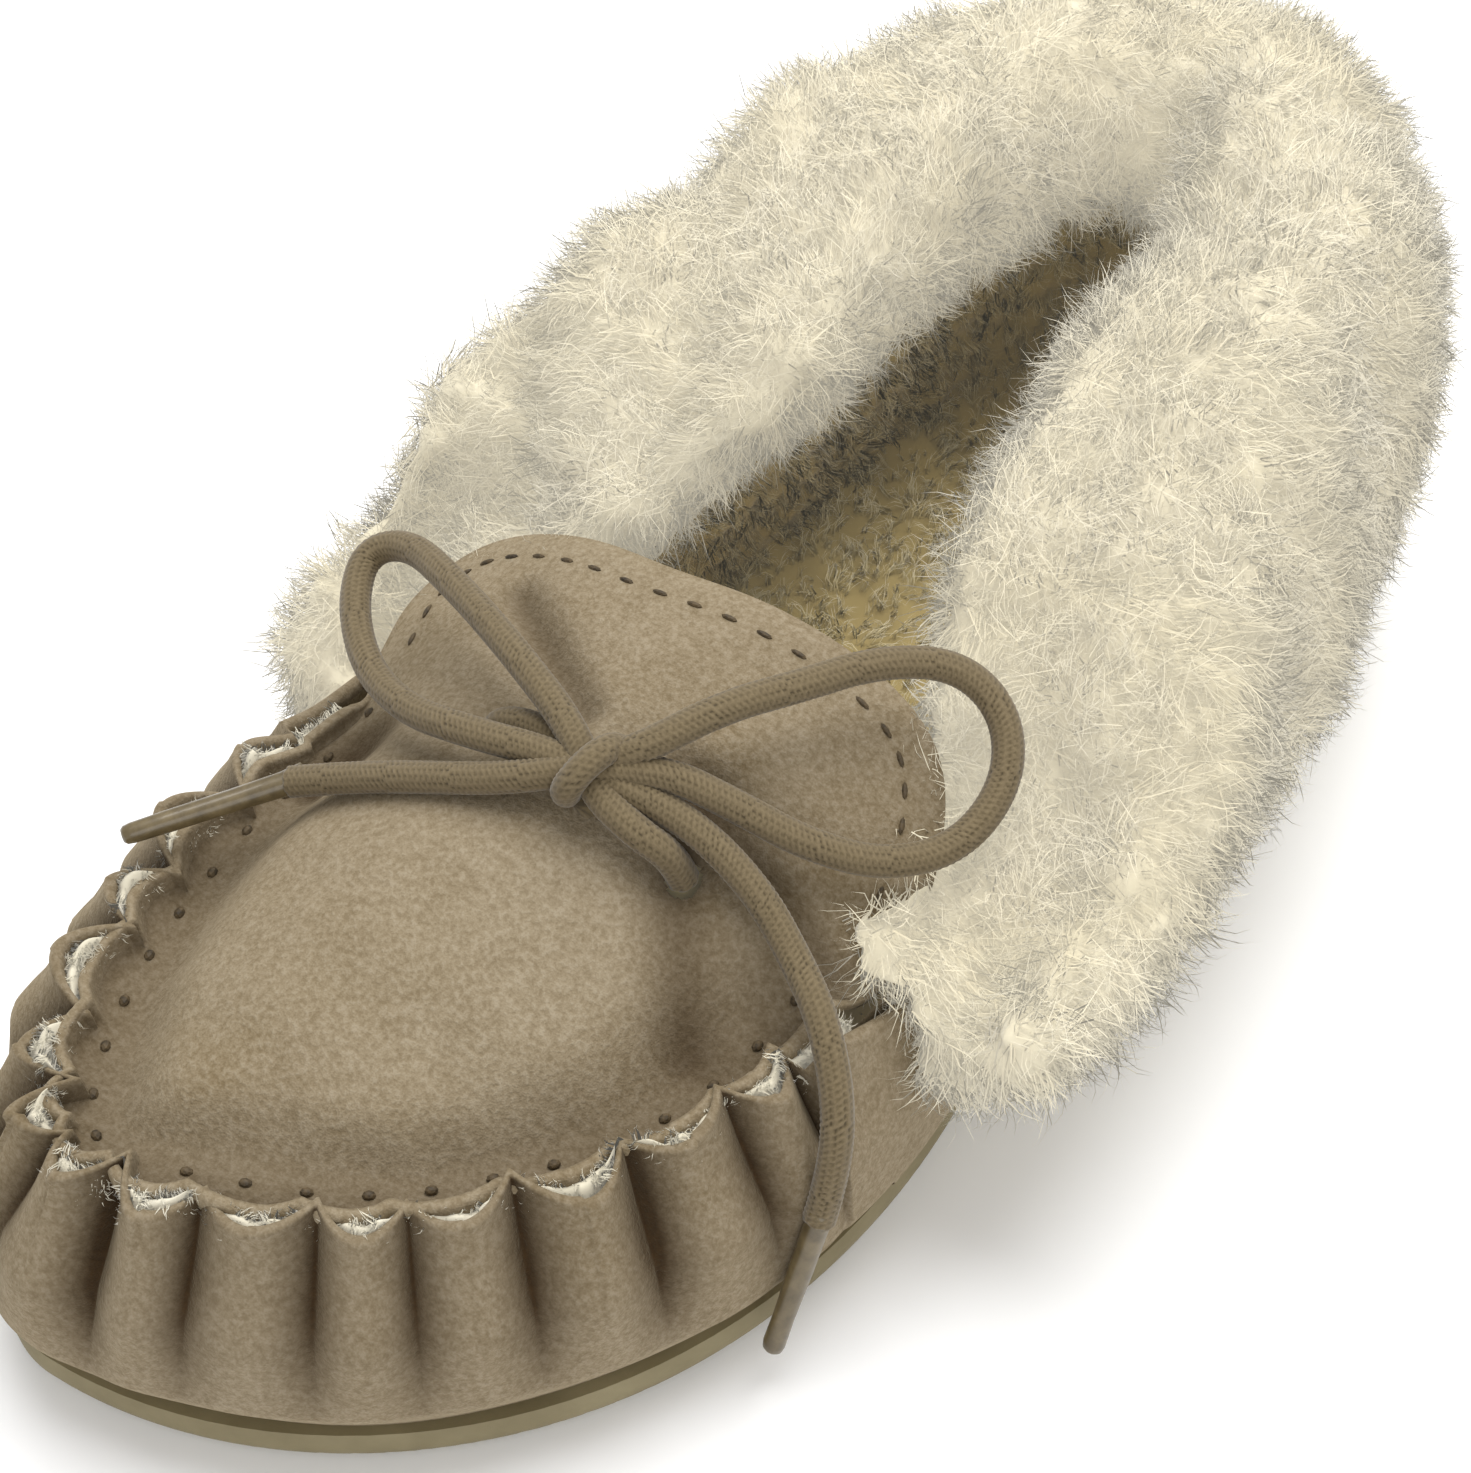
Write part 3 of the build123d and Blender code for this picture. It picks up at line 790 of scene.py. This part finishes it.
def pile_tree(name, locks, material):
    """Geometry Nodes: locks set thickly over a skin, leaning the way the pile is combed."""
    tree = bpy.data.node_groups.new(name, "GeometryNodeTree")
    face = tree.interface
    face.new_socket("Skin", in_out="INPUT", socket_type="NodeSocketGeometry")
    for label, value in (("Locks per square metre", 500000.0), ("Lift", 0.5), ("Comb", 1.0), ("Stray", 0.35),
                         ("Shortest", 0.7), ("Longest", 1.25)):
        face.new_socket(label, in_out="INPUT", socket_type="NodeSocketFloat").default_value = value
    face.new_socket("Seed", in_out="INPUT", socket_type="NodeSocketInt").default_value = 1
    face.new_socket("Pile", in_out="OUTPUT", socket_type="NodeSocketGeometry")
    given = add(tree, "NodeGroupInput").outputs
    scatter = add(tree, "GeometryNodeDistributePointsOnFaces", {"Mesh": given["Skin"], "Seed": given["Seed"],
                  "Density": given["Locks per square metre"]}, distribute_method="RANDOM")
    normal = scatter.outputs["Normal"]
    place = add(tree, "GeometryNodeInputPosition").outputs[0]
    parts = add(tree, "ShaderNodeSeparateXYZ", {0: place}).outputs
    spine_y = add(tree, "ShaderNodeClamp", {0: parts[1]}, Min=-0.030, Max=0.078)
    spine = add(tree, "ShaderNodeCombineXYZ", {1: spine_y.outputs[0]}, X=-0.003, Z=0.050)
    away = add(tree, "ShaderNodeVectorMath", {0: place, 1: spine.outputs[0]}, operation="SUBTRACT")
    unit = add(tree, "ShaderNodeVectorMath", {0: away.outputs[0]}, operation="NORMALIZE")
    down = add(tree, "ShaderNodeVectorMath", {0: unit.outputs[0]}, operation="ADD")
    down.inputs[1].default_value = (0, 0, -0.7)
    facing = add(tree, "ShaderNodeVectorMath", {0: down.outputs[0], 1: normal}, operation="DOT_PRODUCT")
    along_normal = add(tree, "ShaderNodeVectorMath", {0: normal, 3: facing.outputs[1]}, operation="SCALE")
    lying = add(tree, "ShaderNodeVectorMath", {0: down.outputs[0], 1: along_normal.outputs[0]},
                operation="SUBTRACT")
    combed = add(tree, "ShaderNodeVectorMath", {0: lying.outputs[0], 3: given["Comb"]}, operation="SCALE")
    lifted = add(tree, "ShaderNodeVectorMath", {0: normal, 3: given["Lift"]}, operation="SCALE")
    swirl = add(tree, "ShaderNodeTexNoise", {0: place}, scale=55.0, detail=2.0)
    centred = add(tree, "ShaderNodeVectorMath", {0: swirl.outputs[1]}, operation="SUBTRACT")
    centred.inputs[1].default_value = (0.5, 0.5, 0.5)
    stray = add(tree, "ShaderNodeMath", {0: given["Stray"]}, operation="MULTIPLY")
    stray.inputs[1].default_value = 5.0
    strayed = add(tree, "ShaderNodeVectorMath", {0: centred.outputs[0], 3: stray.outputs[0]},
                  operation="SCALE")
    loose = add(tree, "FunctionNodeRandomValue", {"Seed": given["Seed"]}, data_type="FLOAT_VECTOR")
    loose.inputs[0].default_value = (-0.3, -0.3, -0.3)
    loose.inputs[1].default_value = (0.3, 0.3, 0.3)
    first = add(tree, "ShaderNodeVectorMath", {0: combed.outputs[0], 1: lifted.outputs[0]}, operation="ADD")
    second = add(tree, "ShaderNodeVectorMath", {0: first.outputs[0], 1: strayed.outputs[0]}, operation="ADD")
    third = add(tree, "ShaderNodeVectorMath", {0: second.outputs[0], 1: loose.outputs[0]}, operation="ADD")
    turn = add(tree, "FunctionNodeRandomValue", {}, data_type="FLOAT_VECTOR")
    turn.inputs[0].default_value = (0, 0, 0)
    turn.inputs[1].default_value = (0, 0, math.tau)
    spun = add(tree, "FunctionNodeEulerToRotation", {0: turn.outputs[0]})
    aimed = add(tree, "FunctionNodeAlignRotationToVector", {0: spun.outputs[0], 2: third.outputs[0]},
                axis="Z")
    marked = add(tree, "GeometryNodeStoreNamedAttribute",
                 {"Geometry": scatter.outputs["Points"], "Value": normal},
                 data_type="FLOAT_VECTOR", domain="POINT", Name="pile_normal")
    size = add(tree, "FunctionNodeRandomValue", {2: given["Shortest"], 3: given["Longest"]},
               data_type="FLOAT")
    choice = add(tree, "GeometryNodeCollectionInfo", transform_space="ORIGINAL")
    choice.inputs[0].default_value = locks
    choice.inputs[1].default_value = True
    choice.inputs[2].default_value = True
    planted = add(tree, "GeometryNodeInstanceOnPoints",
                  {"Points": marked.outputs[0], "Instance": choice.outputs[0],
                   "Rotation": aimed.outputs[0], "Scale": size.outputs[1]})
    planted.inputs["Pick Instance"].default_value = True
    real = add(tree, "GeometryNodeRealizeInstances", {0: planted.outputs[0]})
    finish = add(tree, "GeometryNodeSetMaterial", {"Geometry": real.outputs[0]})
    finish.inputs["Material"].default_value = material
    add(tree, "NodeGroupOutput", {0: finish.outputs[0]})
    return tree


def grow_pile(skin, name, tree, **settings):
    """A plain mesh of the pile that the tree grows on a skin. The skin stays as it is."""
    bed = bpy.data.objects.new(name + "_bed", skin.data)
    bpy.context.scene.collection.objects.link(bed)
    modifier = bed.modifiers.new("pile", "NODES")
    modifier.node_group = tree
    for item in tree.interface.items_tree:
        if item.in_out == "INPUT" and item.name in settings:
            modifier[item.identifier] = settings[item.name]
    return evaluated_copy(bed, name)


def make_collar_skin(pile):
    """The collar's skin: both halves of its solid shape, run together and softened."""
    mesh = bmesh.new()
    for node in ("cuff_outer", "cuff_inner"):
        mesh.from_mesh(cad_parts[node].data)
    bmesh.ops.remove_doubles(mesh, verts=mesh.verts, dist=0.00005)
    data = bpy.data.meshes.new("collar_skin")
    mesh.to_mesh(data)
    mesh.free()
    data.materials.clear()
    skin = bpy.data.objects.new("collar_skin", data)
    bpy.context.scene.collection.objects.link(skin)
    remesh = skin.modifiers.new("even", "REMESH")
    remesh.mode = "VOXEL"
    remesh.voxel_size = 2.2 * MM
    soften = skin.modifiers.new("soften", "SMOOTH")
    soften.factor = 0.5
    soften.iterations = 22
    skin = evaluated_copy(skin, "collar_skin")
    points = np.empty(len(skin.data.vertices) * 3)
    skin.data.vertices.foreach_get("co", points)
    points = points.reshape(-1, 3)
    normals = np.empty(len(skin.data.vertices) * 3)
    skin.data.vertices.foreach_get("normal", normals)
    normals = normals.reshape(-1, 3)
    mm = points / MM
    lumps = (2.6 * waves(mm[:, 0] + 0.7 * mm[:, 2], mm[:, 1] - 0.6 * mm[:, 2], 30.0, 50)
             + 0.9 * waves(mm[:, 0] - mm[:, 2], mm[:, 1] + mm[:, 2], 11.0, 51))
    spine = np.stack([np.full(len(mm), 1.0), np.clip(mm[:, 1], -30.0, 62.0), np.full(len(mm), 52.0)], 1)
    toward = spine - mm
    toward /= np.linalg.norm(toward, axis=1)[:, None]
    facing = np.clip((toward * normals).sum(1) - 0.1, 0, 1) * smooth((mm[:, 2] - 44.0) / 10.0)
    closing = facing * (4.5 + 4.0 * smooth((mm[:, 1] - 30.0) / 40.0))
    points += normals * (lumps[:, None] - 1.0 + closing[:, None]) * MM
    lowest = 12.0 + 15.0 * smooth((70.0 - mm[:, 1]) / 48.0)
    hang = np.clip(48.0 - mm[:, 2], 0, None)
    points[:, 2] += hang * (1 - (48.0 - lowest) / 37.0) * smooth((mm[:, 0] + 4.0) / 20.0) * MM
    tuck = smooth((10.0 - mm[:, 1]) / 40.0) * smooth((-30.0 - mm[:, 0]) / 20.0)
    points += tuck[:, None] * np.array((5.0, 4.0, -2.0)) * MM
    corner = smooth((22.0 - mm[:, 1]) / 40.0) * (mm[:, 0] > 0) * smooth((56.0 - mm[:, 2]) / 20.0)
    points += corner[:, None] * np.array((-1.5, -12.0, 2.0)) * MM
    skin.data.vertices.foreach_set("co", points.reshape(-1))
    skin.data.polygons.foreach_set("use_smooth", [True] * len(skin.data.polygons))
    skin.data.materials.clear()
    skin.data.materials.append(pile)
    skin.data.update()
    mark_skin(skin, 0.35)
    return skin


COLLAR_PARTS = (
    ("outer_front", lambda x, y: (x >= -4.0) & (y < 32.0)),
    ("outer_middle", lambda x, y: (x >= -4.0) & (y >= 32.0) & (y < 82.0)),
    ("outer_heel", lambda x, y: (x >= -4.0) & (y >= 82.0)),
    ("inner_front", lambda x, y: (x < -4.0) & (y < 32.0)),
    ("inner_middle", lambda x, y: (x < -4.0) & (y >= 32.0) & (y < 82.0)),
    ("inner_heel", lambda x, y: (x < -4.0) & (y >= 82.0)),
)


def mark_skin(skin, along):
    """Store on a bare skin what the pile's material reads on the fibres."""
    count = len(skin.data.vertices)
    normals = np.empty(count * 3)
    skin.data.vertices.foreach_get("normal", normals)
    skin.data.attributes.new("pile_normal", "FLOAT_VECTOR", "POINT").data.foreach_set("vector", normals)
    skin.data.attributes.new("along", "FLOAT", "POINT").data.foreach_set("value", np.full(count, along))


def split_skin(skin, name, inside, facing=None):
    """A copy of the faces of a skin that are inside a plan region and can be turned to face a given way."""
    mesh = bmesh.new()
    mesh.from_mesh(skin.data)
    if facing:
        wrong = [f for f in mesh.faces if f.normal.dot(facing(f.calc_center_median() / MM)) < 0]
        if len(wrong) > len(mesh.faces) * 0.6:
            bmesh.ops.reverse_faces(mesh, faces=mesh.faces[:])
    doomed = []
    for face in mesh.faces:
        centre = face.calc_center_median() / MM
        away = facing and face.normal.dot(facing(centre)) < 0.05
        if away or not inside(np.array(centre.x), np.array(centre.y)):
            doomed.append(face)
    bmesh.ops.delete(mesh, geom=doomed, context="FACES")
    data = bpy.data.meshes.new(name)
    mesh.to_mesh(data)
    mesh.free()
    for material in skin.data.materials:
        data.materials.append(material)
    piece = bpy.data.objects.new(name, data)
    bpy.context.scene.collection.objects.link(piece)
    return piece


def make_collar(pile):
    skin = make_collar_skin(pile)
    locks = make_lock_set("collar_lock", 100, fibres=7, length=7.2, spread=1.9, width=0.19)
    tree = pile_tree("collar_pile", locks, pile)
    for seed, (part, inside) in enumerate(COLLAR_PARTS):
        bed = split_skin(skin, f"collar_{part}_skin", inside)
        wool = grow_pile(bed, f"collar_{part}_wool", tree, **{
            "Locks per square metre": COLLAR_DENSITY, "Seed": seed + 3, "Lift": 0.45, "Comb": 0.35,
            "Stray": 0.55})
        for piece in (bed, wool):
            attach(piece, SHOE)
        if part.endswith("front"):
            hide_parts("cuff_" + part.split("_")[0])
    bpy.data.objects.remove(skin)


def make_short_pile(beds, pile, length):
    """Short fleece on the linings and in the gathered ridge."""
    locks = make_lock_set("short_lock", 300, fibres=6, length=length, spread=0.7, width=0.24)
    tree = pile_tree("lining_pile", locks, pile)
    for seed, (bed, body, density, inside, facing) in enumerate(beds):
        patch = split_skin(bed, bed.name + "_patch", inside, facing)
        wool = grow_pile(patch, bed.name + "_pile", tree, **{
            "Locks per square metre": density, "Seed": seed + 20, "Lift": 1.0, "Comb": 0.3, "Stray": 0.5,
            "Shortest": 0.5, "Longest": 1.0})
        bpy.data.objects.remove(patch)
        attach(wool, body)


# ---------------------------------------------------------------- lace

LACE = 4.0
BRAID_RING_GAP = 0.27 * MM
LEFT_LACE_ROUTE = (
    (-12.5, -46.5, 52.0), (-12.3, -46.4, 56.5), (-8.0, -45.5, 58.9), (-1.0, -45.8, 60.3), (5.5, -46.5, 61.8),
    (10.0, -43.5, 65.0), (14.5, -34.0, 67.0), (19.6, -25.7, 67.0), (24.8, -16.3, 67.0), (32.0, -9.6, 65.5),
    (39.7, -10.0, 61.8), (44.0, -15.8, 57.0), (43.3, -24.8, 53.0), (37.3, -32.3, 52.5), (29.3, -37.3, 55.5),
    (21.0, -40.0, 59.0), (12.5, -43.2, 62.4), (4.0, -49.0, 61.8), (-4.0, -54.0, 58.8), (-14.0, -57.5, 55.2),
    (-23.5, -60.5, 51.2), (-31.4, -64.2, 48.0),
)
RIGHT_LACE_ROUTE = (
    (18.5, -47.3, 50.5), (18.3, -48.6, 55.5), (13.5, -50.3, 58.6), (6.5, -49.5, 60.5), (0.5, -45.5, 63.5),
    (-14.0, -40.8, 65.0), (-27.5, -36.0, 63.5), (-39.5, -31.8, 60.5), (-45.0, -34.8, 58.0),
    (-41.5, -41.5, 55.5),
    (-33.0, -48.0, 54.5), (-22.5, -51.5, 56.5), (-11.5, -51.5, 60.0), (-0.8, -49.0, 61.4), (7.5, -47.5, 61.0),
    (18.0, -44.8, 58.3), (28.3, -45.0, 53.3), (36.0, -47.5, 48.5), (43.0, -51.5, 47.0), (48.9, -56.1, 41.5),
    (51.8, -60.4, 34.0), (51.9, -63.4, 27.0),
)
LEFT_AGLET_TIP = (-42.8, -82.0, 46.0)
RIGHT_AGLET_TIP = (51.4, -71.8, 6.3)
KNOT_CENTRE = (5.5, -48.0, 61.5)


def route_line(route, name):
    """Points along the smooth spline that a cord's route points control."""
    data = bpy.data.curves.new(name, "CURVE")
    data.dimensions = "3D"
    spline = data.splines.new("NURBS")
    spline.points.add(len(route) - 1)
    for point, place in zip(spline.points, route):
        point.co = (*metres(place), 1.0)
    spline.order_u = 3
    spline.use_endpoint_u = True
    spline.resolution_u = 24
    guide = bpy.data.objects.new(name, data)
    bpy.context.scene.collection.objects.link(guide)
    graph = bpy.context.evaluated_depsgraph_get()
    mesh = bpy.data.meshes.new_from_object(guide.evaluated_get(graph))
    line = np.array([v.co[:] for v in mesh.vertices])
    bpy.data.meshes.remove(mesh)
    bpy.data.objects.remove(guide)
    return line


def tube_frames(line):
    """Two directions across a line at each of its points, turning as little as possible along it."""
    along = np.gradient(line, axis=0)
    along /= np.linalg.norm(along, axis=1)[:, None]
    across = np.cross(along[0], (0.3, 0.1, 1.0))
    frames = []
    for direction in along:
        across = across - direction * (across @ direction)
        across /= np.linalg.norm(across)
        frames.append((across.copy(), np.cross(direction, across)))
    return frames


def braid_tube(name, line, diameter, material):
    """A round braid: strands that cross over and under, drawn in the tube's own surface."""
    reach = np.linalg.norm(np.diff(line, axis=0), axis=1).sum()
    line, length = even_steps(line, int(reach / BRAID_RING_GAP), False)
    frames = tube_frames(line)
    around, strands, pitch = 42, 7, 5.6 * MM
    angle = np.arange(around) * math.tau / around
    verts, weave = [], []
    for k, (centre, (u, v)) in enumerate(zip(line, frames)):
        reach = k * length / (len(line) - 1)
        right = (angle / math.tau + reach / pitch) * strands
        left = (angle / math.tau - reach / pitch) * strands
        over = (np.floor(right) + np.floor(left)) % 2 == 0
        across = np.where(over, right % 1.0, left % 1.0)
        height = np.sin(math.pi * across) ** 0.7
        radius = diameter / 2 * (0.93 + 0.11 * height)
        verts.append(centre + np.cos(angle)[:, None] * u * radius[:, None]
                     + np.sin(angle)[:, None] * v * radius[:, None])
        weave.append(height)
    rings = len(verts)
    faces = []
    for j in range(rings - 1):
        for i in range(around):
            k = (i + 1) % around
            faces.append((j * around + i, j * around + k, (j + 1) * around + k, (j + 1) * around + i))
    faces.append(tuple(range(around))[::-1])
    faces.append(tuple((rings - 1) * around + i for i in range(around)))
    mesh = bpy.data.meshes.new(name)
    mesh.from_pydata([tuple(p) for p in np.vstack(verts)], [], faces)
    mesh.polygons.foreach_set("use_smooth", [True] * len(faces))
    # weave: strand height, which the braid material turns into painted shade in the gaps.
    layer = mesh.attributes.new("weave", "FLOAT", "POINT")
    layer.data.foreach_set("value", np.concatenate(weave))
    mesh.materials.append(material)
    tube = bpy.data.objects.new(name, mesh)
    bpy.context.scene.collection.objects.link(tube)
    return tube, length


def make_aglet(name, start, tip, node, material):
    """The lace's tip: film shrunk over the braid, slightly waisted, with a rounded end."""
    start, tip = np.array(start), np.array(tip)
    direction = (tip - start) / np.linalg.norm(tip - start)
    side = np.cross(direction, (0.2, 0.9, 0.3))
    side /= np.linalg.norm(side)
    other = np.cross(direction, side)
    profile = ((-2.0, 1.55), (-1.8, 1.95), (-0.5, 1.80), (1.0, 1.62), (8.0, 1.50), (16.0, 1.42), (20.6, 1.40),
               (21.5, 1.25), (21.9, 0.9), (22.0, 0.02))
    angle = np.linspace(0, math.tau, 28, endpoint=False)
    rows = []
    for reach, radius in profile:
        radius = radius * (1 + 0.04 * np.sin(angle * 2 + reach * 0.4))
        rows.append(start + direction * reach + np.cos(angle)[:, None] * side * radius[:, None]
                    + np.sin(angle)[:, None] * other * radius[:, None])
    piece = grid_mesh(name, rows, True, material)
    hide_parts(node)
    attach(piece, SHOE)
    return piece


def make_knot(material):
    """The strand that wraps once over the middle of the bow."""
    turns = []
    for step in range(64):
        angle = math.radians(-100 + step * 6.6)
        turns.append((KNOT_CENTRE[0] - 1.6 + step * 0.055 + 0.8 * math.sin(angle),
                      KNOT_CENTRE[1] - 3.9 * math.cos(angle), KNOT_CENTRE[2] + 3.4 * math.sin(angle)))
    line = (np.array(turns) + CENTRING) * MM
    knot, _ = braid_tube("lace_knot_wrap", line, (LACE - 0.3) * MM, material)
    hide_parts("lace_knot")
    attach(knot, SHOE)
    return knot


def make_lace():
    braid, film = lace_material(), aglet_material()
    knot = make_knot(braid)
    tips = (make_aglet("aglet_left_tip", LEFT_LACE_ROUTE[-1], LEFT_AGLET_TIP, "aglet_left", film),
            make_aglet("aglet_right_tip", RIGHT_LACE_ROUTE[-1], RIGHT_AGLET_TIP, "aglet_right", film))
    for name, route, tip, nodes in (
            ("lace_left", LEFT_LACE_ROUTE, tips[0], ("lace_leg_left", "lace_loop_right", "lace_end_left")),
            ("lace_right", RIGHT_LACE_ROUTE, tips[1],
             ("lace_leg_right", "lace_loop_left", "lace_end_right"))):
        line = route_line(route, name + "_guide")
        tube, length = braid_tube(name, line, LACE * MM, braid)
        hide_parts(*nodes)
        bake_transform(tube)


# ---------------------------------------------------------------- stitches


def thread_material():
    """Waxed sewing thread, sunk into the suede."""
    material, tree, shader = new_material("waxed_thread")
    coordinate = add(tree, "ShaderNodeTexCoord").outputs["Object"]
    twist = noise(tree, coordinate, 0.8, 2.0, 0.6)
    tree.links.new(ramp(tree, twist, [(0.3, "#2f2616"), (0.7, "#5a4a30")]), shader.inputs["Base Color"])
    shader.inputs["Roughness"].default_value = 0.7
    return material


def stitch_tree(material):
    """Geometry Nodes: one stitch at each point, laid along the seam and tilted to the leather."""
    tree = bpy.data.node_groups.new("stitch_row", "GeometryNodeTree")
    tree.interface.new_socket("Places", in_out="INPUT", socket_type="NodeSocketGeometry")
    for label, value in (("Stitch length", 2.2 * MM), ("Stitch width", 0.8 * MM)):
        tree.interface.new_socket(label, in_out="INPUT", socket_type="NodeSocketFloat").default_value = value
    tree.interface.new_socket("Row", in_out="OUTPUT", socket_type="NodeSocketGeometry")
    given = add(tree, "NodeGroupInput").outputs
    ball = add(tree, "GeometryNodeMeshUVSphere")
    ball.inputs["Segments"].default_value = 8
    ball.inputs["Rings"].default_value = 5
    ball.inputs["Radius"].default_value = 0.5
    size = add(tree, "ShaderNodeCombineXYZ", {0: given["Stitch length"], 1: given["Stitch width"],
               2: given["Stitch width"]})
    along = add(tree, "GeometryNodeInputNamedAttribute", data_type="FLOAT_VECTOR", Name="seam_way")
    above = add(tree, "GeometryNodeInputNamedAttribute", data_type="FLOAT_VECTOR", Name="seam_up")
    laid = add(tree, "FunctionNodeAlignRotationToVector", {2: along.outputs[0]}, axis="X")
    tilted = add(tree, "FunctionNodeAlignRotationToVector", {0: laid.outputs[0], 2: above.outputs[0]},
                 axis="Z", pivot_axis="X")
    sewn = add(tree, "GeometryNodeInstanceOnPoints", {"Points": given["Places"], "Instance": ball.outputs[0],
               "Rotation": tilted.outputs[0], "Scale": size.outputs[0]})
    real = add(tree, "GeometryNodeRealizeInstances", {0: sewn.outputs[0]})
    finish = add(tree, "GeometryNodeSetMaterial", {"Geometry": real.outputs[0]})
    finish.inputs["Material"].default_value = material
    add(tree, "NodeGroupOutput", {0: finish.outputs[0]})
    return tree


def make_stitches():
    """The row round the tongue's edge, and the row that draws the gathers up inside the ridge."""
    line = upper_outline()
    normal = outward(line)
    seam, _, _ = seam_pull(line)
    tree = stitch_tree(thread_material())
    reach = np.concatenate([[0], np.cumsum(np.linalg.norm(np.diff(line, axis=0), axis=1))])
    for name, body, mask, inset, gap, length, width in (
            ("tongue_edge_stitches", FLAP, (seam < 0.05) & (line[:, 1] > -40.0), 4.6, 5.2, 2.4, 0.75),
            ("apron_gather_stitches", SHOE, seam > 0.6, 2.1, 7.4, 1.7, 1.3)):
        index = [np.searchsorted(reach, r) for r in np.arange(0, reach[-1], gap)]
        index = [i for i in index if i < len(line) and mask[i]]
        flat = line[index] - normal[index] * inset
        heights = [upper_height(flat[:, 0] + dx, flat[:, 1] + dy, np.full(len(flat), inset))[0]
                   for dx, dy in ((0, 0), (0.5, 0), (0, 0.5))]
        z = heights[0] + (seam[index] * np.exp(-inset / 1.6) * (RIDGE_TOP - 2.2 - heights[0]) * 0.75)
        slope = [(heights[1] - heights[0]) / 0.5, (heights[2] - heights[0]) / 0.5]
        above = np.stack([-slope[0], -slope[1], np.ones(len(flat))], 1)
        tangent = np.stack([-normal[index][:, 1], normal[index][:, 0], np.zeros(len(flat))], 1)
        tangent[:, 2] = tangent[:, 0] * slope[0] + tangent[:, 1] * slope[1]
        mesh = bpy.data.meshes.new(name + "_places")
        mesh.from_pydata([metres(p) for p in np.column_stack([flat, z])], [], [])
        for label, values in (("seam_way", tangent), ("seam_up", above)):
            layer = mesh.attributes.new(label, "FLOAT_VECTOR", "POINT")
            layer.data.foreach_set("vector", values.reshape(-1))
        places = bpy.data.objects.new(name + "_places", mesh)
        bpy.context.scene.collection.objects.link(places)
        modifier = places.modifiers.new("stitches", "NODES")
        modifier.node_group = tree
        for item in tree.interface.items_tree:
            if item.name == "Stitch length":
                modifier[item.identifier] = length * MM
            if item.name == "Stitch width":
                modifier[item.identifier] = width * MM
        row = evaluated_copy(places, name)
        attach(row, body)


# ---------------------------------------------------------------- everything


def make_floor():
    mesh = bpy.data.meshes.new("studio_floor")
    mesh.from_pydata([(-3, -3, 0), (3, -3, 0), (3, 3, 0), (-3, 3, 0)], [], [(0, 1, 2, 3)])
    mesh.materials.append(floor_material())
    floor = bpy.data.objects.new("studio_floor", mesh)
    bpy.context.scene.collection.objects.link(floor)


def finish_sole():
    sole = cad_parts["outsole"]
    sole.data.materials.clear()
    sole.data.materials.append(rubber_material())


def hide_inner_layers():
    """The board, pad and stiffener are sealed inside the shoe, behind the linings."""
    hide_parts("insole_board", "cushion_pad", "heel_stiffener")


def upward(centre):
    return Vector((0, 0, 1))


def downward(centre):
    return Vector((0, 0, -1))


def toward_foot(centre):
    """Level, toward the middle of the space for the foot."""
    return Vector((-centre.x, -0.6 * (centre.y - 10.0), 0)).normalized()


def seen_through_opening(x, y):
    return y > -35.0


def under_tongue(x, y):
    return abs(x) < 24.0


def everywhere(x, y):
    return True


def main():
    make_studio()
    make_lace()
    suede = suede_material()
    # The last number of each pile is its painted glow.
    collar_pile = wool_material("long_sheepskin_pile", "#bcb39a", "#c4bda7", "#cdc7b6", 0.52)
    short_pile = wool_material("short_sheepskin_pile", "#b5a26c", "#d9cca2", "#eee8d4", 0.04)
    finish_sole()
    make_wall(suede)
    make_upper(suede)
    make_quarters(suede)
    make_stitches()
    walls, sock = make_lining(short_pile)
    hide_inner_layers()
    crown_linings = make_crown_lining(short_pile)
    ridge_pile = wool_material("ridge_sheepskin_pile", "#b9b29c", "#ccc6b4", "#dcd8ca", 0.15)
    ridge = make_ridge_fleece(ridge_pile)
    make_collar(collar_pile)
    make_short_pile(((walls, SHOE, LINING_DENSITY, seen_through_opening, toward_foot),
                     (sock, SHOE, LINING_DENSITY, seen_through_opening, upward),
                     (crown_linings[1], FLAP, TONGUE_DENSITY, under_tongue, downward)), short_pile, 5.0)
    make_short_pile(((ridge, SHOE, RIDGE_DENSITY, everywhere, upward),), ridge_pile, 2.2)
    make_floor()


main()
